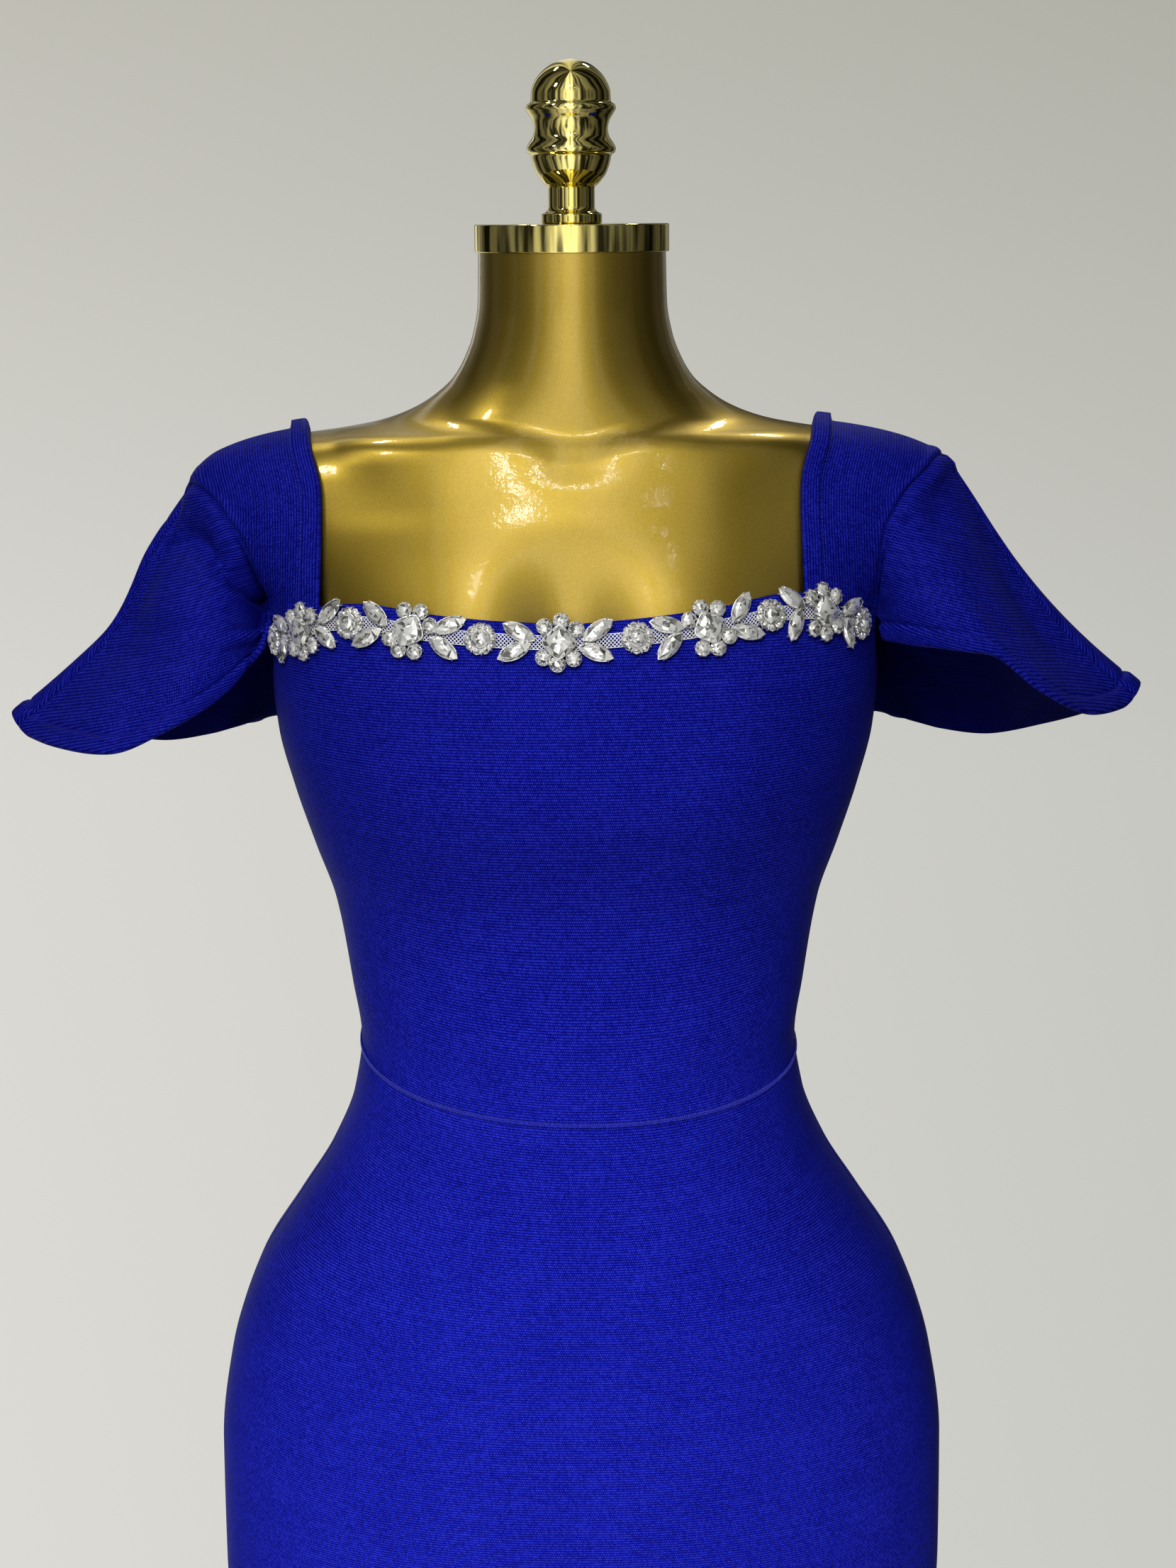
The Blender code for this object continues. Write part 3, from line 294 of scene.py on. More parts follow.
# How finely the pieces are meshed, with steps in from an edge where it rounds over or is turned
FRONT_COLUMNS = 190
BACK_COLUMNS = 170
BODICE_ROWS = 120
SKIRT_ROWS = 158
STRAP_ROWS = 110
SLEEVE_COLUMNS = 80         # of each of its two pieces
SLEEVE_ROWS = 74
TORSO_COLUMNS = 268
RIM = (0.0, 0.00022, 0.0006, 0.0012)
RIM_THICKNESS = (0.35, 0.72, 0.93, 1.0)
ROLL_STEPS = tuple(np.array((0, 0.06, 0.16, 0.3, 0.45, 0.6, 0.75, 0.88, 1.0, 1.15, 1.35)) * WAIST_ROLL_WIDTH)
NECK_STEPS = (0, 0.0003, 0.0008, 0.0016, 0.0030, 0.0050, 0.0070, 0.0084, 0.0090, 0.0095, 0.0100, 0.0106)
SKIRT_HEM_STEPS = (0, 0.0003, 0.0008, 0.0016, 0.004, 0.010, 0.018, 0.0235, 0.0243, 0.025, 0.0257, 0.0265)
SLEEVE_HEM_STEPS = (0.0140, 0.0130, 0.0122, 0.0114, 0.0106, 0.0098, 0.0088, 0.0075, 0.0060, 0.0045, 0.0032,
                    0.0022, 0.0014, 0.0007, 0.0003, 0.0)
BODY_RADIUS = 0.13          # a mean one: what a turn spans on the cloth


# ---------------------------------------------------------------- the form's skin

def smooth_through(stations, values):
    """A curve through the values that never swings past them; it takes numbers or arrays."""
    x = np.array(stations, dtype=float)
    y = np.array(values, dtype=float)
    step = np.diff(x)
    slope = np.diff(y) / step
    tangent = np.zeros(len(x))
    tangent[0] = slope[0]
    tangent[-1] = slope[-1]
    for i in range(1, len(x) - 1):
        if slope[i - 1] * slope[i] > 0:
            before = 2 * step[i] + step[i - 1]
            after = step[i] + 2 * step[i - 1]
            tangent[i] = (before + after) / (before / slope[i - 1] + after / slope[i])

    def value(at):
        at = np.clip(at, x[0], x[-1])
        i = np.clip(np.searchsorted(x, at, side="right") - 1, 0, len(step) - 1)
        t = (at - x[i]) / step[i]
        keep = (1 + 2 * t) * (1 - t) ** 2 * y[i] + t * t * (3 - 2 * t) * y[i + 1]
        lean = t * (1 - t) ** 2 * tangent[i] - t * t * (1 - t) * tangent[i + 1]
        return keep + lean * step[i]

    return value


def curves_of(columns, rows):
    stations = [row[0] for row in rows]
    return {name: smooth_through(stations, [row[i] for row in rows]) for i, name in enumerate(columns) if i}


body = curves_of(SECTION_COLUMNS, BODY_SECTIONS)
neckline = curves_of(NECKLINE_COLUMNS, NECKLINE)
strap_edges = curves_of(STRAP_COLUMNS, STRAP_EDGES)
sleeve_hem = curves_of(HEM_COLUMNS, SLEEVE_HEM)


def body_surface(turn, height, bridged=True):
    """The form's skin. Bridged spans the middle of the bust, as cloth does."""
    sine, cosine = np.sin(turn), np.cos(turn)
    power = 2 / body["squareness"](height)
    depth = np.where(cosine > 0, body["front"](height), body["back"](height))
    x = body["half_width"](height) * np.sign(sine) * np.abs(sine) ** power
    facing = np.sign(cosine) * np.abs(cosine) ** power
    beside = np.abs(x) - BUST_FROM_CENTRE
    beside = np.maximum(beside, 0) if bridged else beside
    fullness = np.exp(-(beside / BUST_SPREAD) ** 2 - ((height - BUST_HEIGHT) / BUST_SPREAD) ** 2)
    y = -depth * facing - BUST_RISE * fullness * np.maximum(facing, 0)
    return np.stack([x, y, height + 0 * x], axis=-1)


def unit(vectors):
    return vectors / np.linalg.norm(vectors, axis=-1, keepdims=True)


def body_normal(turn, height):
    along_turn = body_surface(turn + 0.012, height) - body_surface(turn - 0.012, height)
    along_height = body_surface(turn, height + 0.0015) - body_surface(turn, height - 0.0015)
    return unit(np.cross(along_turn, along_height))


def skin(turn, height, out, bridged=True):
    """Points a distance out from the form's skin."""
    turn, height = np.broadcast_arrays(np.asarray(turn, float), np.asarray(height, float))
    out = np.broadcast_to(np.asarray(out, float), turn.shape)
    return body_surface(turn, height, bridged) + body_normal(turn, height) * out[..., None]


def turn_at(x, height):
    """Turn, in the front half, at which the skin has this X."""
    share = np.clip(np.abs(x) / body["half_width"](height), 0, 1)
    return np.sign(x) * np.arcsin(share ** (body["squareness"](height) / 2))


def neck_height(x):
    return NECK_HEIGHT + neckline["rise"](np.abs(x)) + NECK_TILT * x


def seam_height(turn):
    return WAIST_HEIGHT - WAIST_DIP * np.cos(turn) - WAIST_TILT * np.sin(turn)


def smoothstep(low, high, at):
    t = np.clip((at - low) / (high - low), 0, 1)
    return t * t * (3 - 2 * t)


def bell(at, width):
    return np.exp(-(at / width) ** 2)


# ---------------------------------------------------------------- meshes

def arc_lengths(points, axis):
    """Distance run along one axis of a grid of points."""
    steps = np.linalg.norm(np.diff(points, axis=axis), axis=-1)
    start = np.zeros_like(np.take(steps, [0], axis=axis))
    return np.cumsum(np.concatenate([start, steps], axis=axis), axis=axis)


def new_mesh(name, points, faces, smooth=True):
    """A mesh from an array of points and a list of face arrays; each array holds faces of one size."""
    mesh = bpy.data.meshes.new(name)
    sizes = np.concatenate([np.full(len(group), group.shape[1]) for group in faces])
    corners = np.concatenate([group.ravel() for group in faces])
    mesh.vertices.add(len(points))
    mesh.vertices.foreach_set("co", np.asarray(points, np.float32).ravel())
    mesh.loops.add(len(corners))
    mesh.loops.foreach_set("vertex_index", corners.astype(np.int32))
    mesh.polygons.add(len(sizes))
    mesh.polygons.foreach_set("loop_start", np.concatenate([[0], np.cumsum(sizes)[:-1]]).astype(np.int32))
    mesh.update(calc_edges=True)
    if smooth:
        mesh.shade_smooth()
    return mesh


def volume_of(points, faces):
    """Signed volume inside a closed mesh, a fan of triangles for each face."""
    total = 0.0
    for group in faces:
        for i in range(1, group.shape[1] - 1):
            a, b, c = points[group[:, 0]], points[group[:, i]], points[group[:, i + 1]]
            total += np.einsum("ij,ij->", a, np.cross(b, c))
    return total / 6


def outward(points, faces):
    """The same faces, turned round together if they face inwards."""
    points = points - points.mean(axis=0)
    return faces if volume_of(points, faces) > 0 else [group[:, ::-1] for group in faces]


def place_piece(name, mesh, materials):
    piece = bpy.data.objects.new(name, mesh)
    bpy.context.scene.collection.objects.link(piece)
    for material in materials:
        mesh.materials.append(material)
    return piece


def rides(piece, slot_name, *nodes):
    """Fix a finished piece to the form, and let it stand for these CAD nodes."""
    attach(piece, "root")
    if nodes:
        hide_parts(*nodes)
    return piece


def grid_quads(rows, columns, first=0, around=False):
    """Faces of a grid of points; around joins its last column to its first."""
    r, c = np.meshgrid(np.arange(rows - 1), np.arange(columns if around else columns - 1), indexing="ij")
    right = (c + 1) % columns
    corners = (r * columns + c, r * columns + right, (r + 1) * columns + right, (r + 1) * columns + c)
    return np.stack([corner.ravel() for corner in corners], axis=1) + first


def cloth_shell(name, outer, inner, knit, materials):
    """A thin closed wall between two grids of points. knit holds each point's place in the knit, and the inside
    takes the second material, the knit painted darker as shade, where there is one."""
    rows, columns = outer.shape[:2]
    count = rows * columns
    index = np.arange(count).reshape(rows, columns)
    ring = np.concatenate([index[0, :], index[1:, -1], index[-1, -2::-1], index[-2:0:-1, 0]])
    after = np.roll(ring, -1)
    front = grid_quads(rows, columns)
    faces = [front, front[:, ::-1] + count, np.stack([after, ring, ring + count, after + count], axis=1)]
    points = np.concatenate([outer.reshape(-1, 3), inner.reshape(-1, 3)])
    mesh = new_mesh(name, points, outward(points, faces))
    places = np.concatenate([knit.reshape(-1, 3)] * 2).astype(np.float32)
    mesh.attributes.new("knit", "FLOAT_VECTOR", "POINT").data.foreach_set("vector", places.ravel())
    piece = place_piece(name, mesh, materials)
    inside = np.concatenate([np.zeros(len(front)), np.ones(len(front)), np.zeros(len(ring))]).astype(np.int32)
    mesh.polygons.foreach_set("material_index", inside * (len(materials) - 1))
    return piece


def closed_tube(name, grid, ends, sharp_degrees, materials):
    """A smooth closed body through rings of points, with a fan at each end to the axis at these heights."""
    rows, columns = grid.shape[:2]
    points = np.concatenate([grid.reshape(-1, 3), [[0, 0, height] for height in ends]])
    faces = [grid_quads(rows, columns, around=True)]
    for end, row in enumerate((0, rows - 1)):
        rim = row * columns + np.arange(columns)
        after = np.roll(rim, -1)
        edge = (rim, after) if end else (after, rim)
        faces.append(np.stack([np.full(columns, rows * columns + end), *edge], axis=1))
    mesh = new_mesh(name, points, outward(points, faces))
    mesh.set_sharp_from_angle(angle=math.radians(sharp_degrees))
    return place_piece(name, mesh, materials)


def lathe(name, profile, materials, segments=128):
    """A body turned about the upright axis from (radius, height) pairs."""
    profile = np.array(profile)
    angles = np.linspace(0, 2 * math.pi, segments, endpoint=False)
    radius, height = profile[:, 0, None], profile[:, 1, None]
    grid = np.stack([radius * np.cos(angles), radius * np.sin(angles), height + 0 * angles], axis=-1)
    return closed_tube(name, grid, profile[[0, -1], 1], 50, materials)


# ---------------------------------------------------------------- nodes

def fill_inputs(node, inputs):
    """Each input takes a value or another node's output."""
    for label, value in dict(inputs).items():
        if isinstance(value, bpy.types.NodeSocket):
            node.id_data.links.new(value, node.inputs[label])
        else:
            node.inputs[label].default_value = value


def node_in(tree, kind, inputs=(), **settings):
    node = tree.nodes.new(kind)
    for label, value in settings.items():
        setattr(node, label, value)
    fill_inputs(node, inputs)
    return node


def tree_with_inputs(name, inputs):
    """A geometry node tree with named number inputs. Returns the tree and what its input node gives."""
    tree = bpy.data.node_groups.new(name, "GeometryNodeTree")
    tree.interface.new_socket("Geometry", in_out="INPUT", socket_type="NodeSocketGeometry")
    for label in inputs:
        tree.interface.new_socket(label, in_out="INPUT", socket_type="NodeSocketFloat")
    tree.interface.new_socket("Geometry", in_out="OUTPUT", socket_type="NodeSocketGeometry")
    return tree, tree.nodes.new("NodeGroupInput").outputs


def point_value(tree, label, kind="FLOAT_VECTOR"):
    node = node_in(tree, "GeometryNodeInputNamedAttribute", {"Name": label}, data_type=kind)
    return node.outputs["Attribute"]


def finish_tree(tree, geometry, material):
    """Realize, smooth and paint what the tree made."""
    for kind, inputs in (("RealizeInstances", {}), ("SetShadeSmooth", {}),
                         ("SetMaterial", {"Material": material})):
        node = node_in(tree, "GeometryNode" + kind, {"Geometry": geometry, **inputs})
        geometry = node.outputs["Geometry"]
    node_in(tree, "NodeGroupOutput", {"Geometry": geometry})


def bead_tree(material):
    """A rounded bead on every point, turned by its run and out directions and scaled by its size."""
    tree, source = tree_with_inputs("beads_on_points", ("Length", "Width", "Height"))
    ball = node_in(tree, "GeometryNodeMeshUVSphere", {"Segments": 8, "Rings": 5, "Radius": 0.5})
    turn = node_in(tree, "FunctionNodeAlignRotationToVector", {"Vector": point_value(tree, "run")}, axis="X")
    both = {"Rotation": turn.outputs["Rotation"], "Vector": point_value(tree, "out")}
    lean = node_in(tree, "FunctionNodeAlignRotationToVector", both, axis="Z", pivot_axis="X")
    sides = node_in(tree, "ShaderNodeCombineXYZ", {
        "X": source["Length"], "Y": source["Width"], "Z": source["Height"]})
    scaled = node_in(tree, "ShaderNodeVectorMath", {0: sides.outputs["Vector"]}, operation="SCALE")
    fill_inputs(scaled, {"Scale": point_value(tree, "size", "FLOAT")})
    spread = node_in(tree, "GeometryNodeInstanceOnPoints", {
        "Points": source["Geometry"], "Instance": ball.outputs["Mesh"],
        "Rotation": lean.outputs["Rotation"], "Scale": scaled.outputs["Vector"]})
    finish_tree(tree, spread.outputs["Instances"], material)
    return tree


def strand_tree(material):
    """A round strand along every edge of the source, Radius thick."""
    tree, source = tree_with_inputs("strands_on_edges", ("Radius",))
    path = node_in(tree, "GeometryNodeMeshToCurve", {"Mesh": source["Geometry"]})
    ring = node_in(tree, "GeometryNodeCurvePrimitiveCircle", {"Resolution": 5, "Radius": source["Radius"]})
    sweep = node_in(tree, "GeometryNodeCurveToMesh", {
        "Curve": path.outputs["Curve"], "Profile Curve": ring.outputs["Curve"], "Fill Caps": True})
    finish_tree(tree, sweep.outputs["Mesh"], material)
    return tree


def grown(name, scaffold, tree, values):
    """Run a tree on a scaffold mesh and keep the result as a plain mesh object."""
    holder = bpy.data.objects.new(name + "_scaffold", scaffold)
    bpy.context.scene.collection.objects.link(holder)
    modifier = holder.modifiers.new("grow", "NODES")
    modifier.node_group = tree
    for item in tree.interface.items_tree:
        if item.in_out == "INPUT" and item.name in values:
            modifier[item.identifier] = values[item.name]
    bpy.context.view_layer.update()
    shown = holder.evaluated_get(bpy.context.evaluated_depsgraph_get())
    mesh = bpy.data.meshes.new_from_object(shown)
    bpy.data.objects.remove(holder, do_unlink=True)
    mesh.name = name
    piece = bpy.data.objects.new(name, mesh)
    bpy.context.scene.collection.objects.link(piece)
    return piece


def beads(name, tree, points, run, out, size, length, width, height):
    """Beads on points, as stitches, prongs or settings."""
    mesh = bpy.data.meshes.new(name)
    mesh.vertices.add(len(points))
    mesh.vertices.foreach_set("co", np.asarray(points, np.float32).ravel())
    for label, values in (("run", run), ("out", out)):
        values = np.broadcast_to(np.asarray(values, np.float32), (len(points), 3))
        mesh.attributes.new(label, "FLOAT_VECTOR", "POINT").data.foreach_set("vector", values.ravel())
    size = np.broadcast_to(np.asarray(size, np.float32), (len(points),))
    mesh.attributes.new("size", "FLOAT", "POINT").data.foreach_set("value", np.ascontiguousarray(size))
    return grown(name, mesh, tree, {"Length": length, "Width": width, "Height": height})


def strands(name, tree, paths, radius):
    """Round strands along lists of points."""
    points, edges = [], []
    for path in paths:
        first = len(points)
        points += [tuple(point) for point in path]
        edges += [(first + i, first + i + 1) for i in range(len(path) - 1)]
    mesh = bpy.data.meshes.new(name)
    mesh.from_pydata(points, edges, [])
    return grown(name, mesh, tree, {"Radius": radius})


# ---------------------------------------------------------------- materials

def shader_tree(name):
    """A new material with its shader. Returns the material, its tree and the shader."""
    material = bpy.data.materials.new(name)
    material.use_nodes = True
    return material, material.node_tree, material.node_tree.nodes["Principled BSDF"]


def math_of(tree, operation, *values):
    return node_in(tree, "ShaderNodeMath", enumerate(values), operation=operation).outputs[0]


def product_of(tree, first, second):
    """Two vectors or colours, multiplied part by part."""
    return node_in(tree, "ShaderNodeVectorMath", {0: first, 1: second}, operation="MULTIPLY").outputs[0]


def noise_of(tree, vector, scale, detail=2.0, roughness=0.5):
    inputs = {"Vector": vector, "Scale": scale, "Detail": detail, "Roughness": roughness}
    return node_in(tree, "ShaderNodeTexNoise", inputs).outputs["Fac"]


def ramp_of(tree, factor, *stops):
    """Colours by factor; stops are (place, (r, g, b))."""
    node = node_in(tree, "ShaderNodeValToRGB", {"Fac": factor})
    elements = node.color_ramp.elements
    while len(elements) < len(stops):
        elements.new(0.5)
    for element, (place, colour) in zip(elements, stops):
        element.position = place
        element.color = (*colour, 1)
    return node.outputs["Color"]


def object_place(tree):
    return tree.nodes.new("ShaderNodeTexCoord").outputs["Object"]


def bump_of(tree, height, distance, strength):
    inputs = {"Height": height, "Distance": distance, "Strength": strength}
    return node_in(tree, "ShaderNodeBump", inputs).outputs["Normal"]


def set_shader(shader, **inputs):
    fill_inputs(shader, {label.replace("_", " "): value for label, value in inputs.items()})


def knit_material(name, shades, slant, gloss):
    """Bandage knit: fine ribs across V, each a row of slanted stitches along U. Its colour follows the ribs'
    height: painted highlights on the stitches, painted shade between the ribs.
    """
    material, tree, shader = shader_tree(name)
    calc = partial(math_of, tree)
    place = node_in(tree, "ShaderNodeAttribute", attribute_name="knit").outputs["Vector"]
    split = node_in(tree, "ShaderNodeSeparateXYZ", {"Vector": place}).outputs

    def knit_noise(along, across, detail):
        return noise_of(tree, product_of(tree, place, (along, across, 0)), 1.0, detail)

    wander = calc("MULTIPLY", knit_noise(60, 420, 2.0), RIB_WANDER)
    level = calc("ADD", calc("DIVIDE", split["Y"], COURSE), wander)
    within, row = calc("FRACT", level), calc("FLOOR", level)
    rib = calc("POWER", calc("SINE", calc("MULTIPLY", within, math.pi)), RIB_ROUNDNESS)
    shift = calc("MULTIPLY_ADD", row, 0.5, calc("MULTIPLY", within, slant))
    phase = calc("ADD", calc("DIVIDE", split["X"], WALE), shift)
    stitch = calc("MULTIPLY_ADD", calc("COSINE", calc("MULTIPLY", phase, 2 * math.pi)), 0.5, 0.5)
    stitch = calc("POWER", stitch, STITCH_SHARPNESS)
    height = calc("MULTIPLY", rib, calc("MULTIPLY_ADD", stitch, STITCH_SHARE, 1 - STITCH_SHARE))
    which = node_in(tree, "ShaderNodeCombineXYZ", {"X": calc("FLOOR", calc("ADD", phase, 0.5)), "Y": row})
    chance = node_in(tree, "ShaderNodeTexWhiteNoise", noise_dimensions="2D")
    fill_inputs(chance, {"Vector": which.outputs["Vector"]})
    fuzz, streak = knit_noise(1500, 1100, 1.0), knit_noise(9, 330, 3.0)
    cloud = noise_of(tree, object_place(tree), 34.0, 3.0)
    # Painted light: the rib tops and stitches are painted lighter as highlights and the gaps between ribs
    # darker as shade. The noises add random tone.
    tone = calc("MULTIPLY_ADD", calc("POWER", height, 1.6), 0.85, 0.17)
    for uneven, strength in ((chance.outputs["Value"], 0.26), (fuzz, 0.45), (streak, 0.14), (cloud, 0.14)):
        tone = calc("MULTIPLY_ADD", calc("SUBTRACT", uneven, 0.5), strength, tone)
    set_shader(shader, Base_Color=ramp_of(tree, tone, *shades), Normal=bump_of(tree, height, 0.00028, 0.55),
               Roughness=gloss, Specular_IOR_Level=0.03, Sheen_Weight=0.008, Sheen_Roughness=0.35,
               Sheen_Tint=(0.25, 0.32, 1.0, 1))
    return material


def twisted_material(name, scale, dark, light, bump, **values):
    """Thread, its twist finer than shows: in its colour and its surface."""
    material, tree, shader = shader_tree(name)
    twist = noise_of(tree, object_place(tree), scale)
    set_shader(shader, Base_Color=ramp_of(tree, twist, (0.3, dark), (0.7, light)),
               Normal=bump_of(tree, twist, 0.0001, bump), **values)
    return material


def gold_paint_material():
    """Glossy lacquer, a little uneven, over fine metal flakes."""
    material, tree, shader = shader_tree("gold_lacquer")
    calc = partial(math_of, tree)
    place = object_place(tree)
    flakes = node_in(tree, "ShaderNodeTexVoronoi", {"Vector": place, "Scale": 3600.0})
    grain = noise_of(tree, place, 2100.0, 2.0, 0.6)
    tone = calc("MULTIPLY_ADD", grain, 0.55, calc("MULTIPLY", noise_of(tree, place, 14.0), 0.25))
    tone = calc("MULTIPLY_ADD", calc("GREATER_THAN", flakes.outputs["Color"], 0.90), 0.10, tone)
    colour = ramp_of(tree, tone, (0.20, (0.41, 0.280, 0.032)), (0.45, (0.59, 0.405, 0.056)),
                     (0.80, (0.86, 0.64, 0.125)))
    peel = noise_of(tree, place, 330.0, 3.0, 0.55)
    set_shader(shader, Base_Color=colour, Normal=bump_of(tree, grain, 0.0001, 0.25), Metallic=1.0,
               Roughness=0.38, Coat_Normal=bump_of(tree, peel, 0.0004, 0.22), Coat_Weight=1.0,
               Coat_Roughness=0.03, Coat_IOR=1.38)
    return material


def polished_gold_material():
    material, tree, shader = shader_tree("polished_gold_plate")
    place = object_place(tree)
    smear = noise_of(tree, product_of(tree, place, (60, 60, 18)), 1.0, 3.0)
    set_shader(shader, Base_Color=ramp_of(tree, smear, (0.3, (0.80, 0.66, 0.19)), (0.7, (0.88, 0.76, 0.29))),
               Roughness=math_of(tree, "MULTIPLY_ADD", smear, 0.07, 0.02), Metallic=1.0,
               Normal=bump_of(tree, noise_of(tree, place, 140.0), 0.0003, 0.05))
    return material


def silver_material():
    material, tree, shader = shader_tree("bright_silver_setting")
    wear = noise_of(tree, object_place(tree), 900.0)
    set_shader(shader, Base_Color=ramp_of(tree, wear, (0.3, (0.70, 0.69, 0.67)), (0.7, (0.98, 0.97, 0.95))),
               Roughness=math_of(tree, "MULTIPLY_ADD", wear, 0.2, 0.22), Metallic=0.8)
    return material


def stone_material():
    """Foiled cut glass under a clear coat: each facet is painted its own grey, from near black to white, as
    painted reflections and glints.
    """
    material, tree, shader = shader_tree("foiled_cut_glass")
    facet = node_in(tree, "ShaderNodeAttribute", attribute_name="facet_glint").outputs["Fac"]
    fleck = math_of(tree, "SUBTRACT", noise_of(tree, object_place(tree), 700.0, 1.0), 0.5)
    # Painted reflections: the facet's grey with a fine fleck, from near black to white.
    colour = ramp_of(tree, math_of(tree, "MULTIPLY_ADD", fleck, 0.35, facet), (0.0, (0.03, 0.03, 0.03)),
                     (0.25, (0.24, 0.24, 0.23)), (0.46, (0.74, 0.74, 0.72)), (0.64, (1, 1, 0.98)))
    set_shader(shader, Base_Color=colour, Metallic=0.50, Roughness=0.09, Coat_Weight=1.0, Coat_Roughness=0.01,
               Coat_IOR=1.7)
    return material


# The knit's colour ramp: painted shade in the gaps between ribs, the knit's own blue, and whitish painted
# highlights on the stitches.
RIB_GAP_SHADE = (0.0007, 0.0009, 0.074)
MIDDLE = (0.0027, 0.0040, 0.235)
STITCH_HIGHLIGHT = (0.0300, 0.0440, 0.640)
# The sleeves' inside: the knit's reverse side painted much darker, as the shade inside the sleeve.
SHADED_INSIDE_DARK = (0.0004, 0.0005, 0.030)
SHADED_INSIDE_LIGHT = (0.0030, 0.0045, 0.160)
knit = knit_material("royal_blue_knit_face", ((0.05, RIB_GAP_SHADE), (0.42, MIDDLE), (0.98, STITCH_HIGHLIGHT)), 0.35, 0.50)
painted_shade_inside = knit_material("royal_blue_knit_wrong_side", ((0.1, SHADED_INSIDE_DARK), (0.9, SHADED_INSIDE_LIGHT)), 1.0, 0.60)
thread = twisted_material("blue_thread", 2600.0, (0.003, 0.005, 0.17), (0.016, 0.024, 0.46), 0.5,
                          Roughness=0.5, Sheen_Weight=0.15)
net_thread = twisted_material("silver_net_thread", 3000.0, (0.85, 0.85, 0.86), (1.0, 1.0, 1.0), 0.4,
                              Roughness=0.35, Metallic=0.15)
gold_paint = gold_paint_material()
polished_gold = polished_gold_material()
silver = silver_material()
cut_glass = stone_material()
stitches_of_thread = bead_tree(thread)
strands_of_net = strand_tree(net_thread)


# ---------------------------------------------------------------- bodice and skirt

def front_corner_turn(side):
    x = side * ARMHOLE_FROM_CENTRE
    return float(turn_at(x, neck_height(x)))


def neckline_at_turn(turn):
    height = NECK_HEIGHT + 0 * turn
    for _ in range(6):
        height = neck_height(body_surface(turn, height)[..., 0])
    return height


def front_top(turns):
    """Top edge of the front bodice: armhole, neckline, armhole."""
    corners = np.where(turns > 0, front_corner_turn(1), -front_corner_turn(-1))
    corner_heights = neck_height(np.sign(turns) * ARMHOLE_FROM_CENTRE)
    share = np.clip((math.pi / 2 - np.abs(turns)) / (math.pi / 2 - corners), 0, 1)
    armhole = UNDERARM_HEIGHT + (corner_heights - UNDERARM_HEIGHT) * share ** 1.5
    return np.where(np.abs(turns) <= corners, neckline_at_turn(turns), armhole)


def back_corner_turn():
    return math.pi - float(turn_at(BACK_ARMHOLE_FROM_CENTRE, BACK_NECK_HEIGHT))


def back_top(turns):
    from_side = math.pi / 2 - np.abs(turns - math.pi)
    share = np.clip(from_side / (back_corner_turn() - math.pi / 2), 0, 1)
    return UNDERARM_HEIGHT + (BACK_NECK_HEIGHT - UNDERARM_HEIGHT) * share ** 1.5


def turns_between(first, last, count, stops=()):
    """Evenly spaced turns, with a column exactly on each stop and fine ones beside the two ends."""
    rim = np.array(RIM[1:]) / BODY_RADIUS
    plain = np.linspace(first + 0.02, last - 0.02, count)
    turns = np.concatenate([[first], first + rim, plain, last - rim, [last]])
    for stop in stops:
        turns[np.argmin(np.abs(turns - stop))] = stop
    return np.sort(turns)


def rows_between(low, high, low_steps, high_steps, count):
    """Heights for every turn, with set steps in from the low and the high edge."""
    bottom = [low + step for step in low_steps]
    top = [high - step for step in high_steps][::-1]
    shares = np.linspace(0, 1, count + 2)[1:-1]
    between = [bottom[-1] + (top[0] - bottom[-1]) * share for share in shares]
    return np.stack(bottom + between + top)


def wall_share(inset):
    """Share of the wall's thickness this far in from an edge: edges round over."""
    return np.interp(inset, RIM, RIM_THICKNESS)


def rounded_over(inset, radius):
    """Share of a rounded edge's height this far in from it."""
    return np.sqrt(np.clip(1 - (1 - np.clip(inset / radius, 0, 1)) ** 2, 0, 1))


def panel(name, turns, heights, raised, level, replaced):
    """A panel from its turns and heights: a wall whose outside is raised, with knit coordinates."""
    turn = np.broadcast_to(turns, heights.shape)
    side_inset = np.minimum(turn - turns[0], turns[-1] - turn) * BODY_RADIUS
    edge_inset = np.minimum(np.minimum(heights - heights[0], heights[-1] - heights), side_inset)
    half = CLOTH_WALL / 2 * wall_share(edge_inset)
    sunk = SEAM_SINK * bell(side_inset, 0.0022)
    middle = CLOTH_GAP + CLOTH_WALL / 2 - sunk
    outer = skin(turn, heights, middle + half + raised)
    inner = skin(turn, heights, np.maximum(middle - half, CLEAR_OF_FORM))
    along = arc_lengths(outer, 1)
    centre = np.argmin(np.abs(turns - (0 if abs(turns.mean()) < 1 else math.pi)))
    along = along - along[:, centre:centre + 1]
    places = np.stack([along, level, side_inset], axis=-1)
    return rides(cloth_shell(name, outer, inner, places, [knit]), "royal_blue_knit", replaced)


def course_level(turn, heights):
    """Height in the knit: the ribs lie along the waist seam near it, and level out away from it."""
    above = smoothstep(1.06, 1.20, heights)
    below = 0.55 * smoothstep(1.03, 0.86, heights)
    share = 1 - np.maximum(above, below)
    return heights + share * (WAIST_DIP * np.cos(turn) + WAIST_TILT * np.sin(turn))


def waist_roll(above_seam):
    """The bodice's lower edge is rolled over the seam."""
    share = np.clip(above_seam / WAIST_ROLL_WIDTH, 0, 1)
    return WAIST_ROLL_RAISE * np.sin(math.pi * share ** 0.75) ** 0.8


def neck_turn(below_edge, raise_height, width=NECK_TURN_WIDTH):
    """A turned edge: rounded over at its rim, flat, and drawn down where it is stitched."""
    fall = 1 - smoothstep(width - 0.0012, width, below_edge)
    groove = TURNED_EDGE_GROOVE * bell(below_edge - width - 0.0002, 0.0008)
    return raise_height * rounded_over(below_edge, 0.0022) * fall - groove


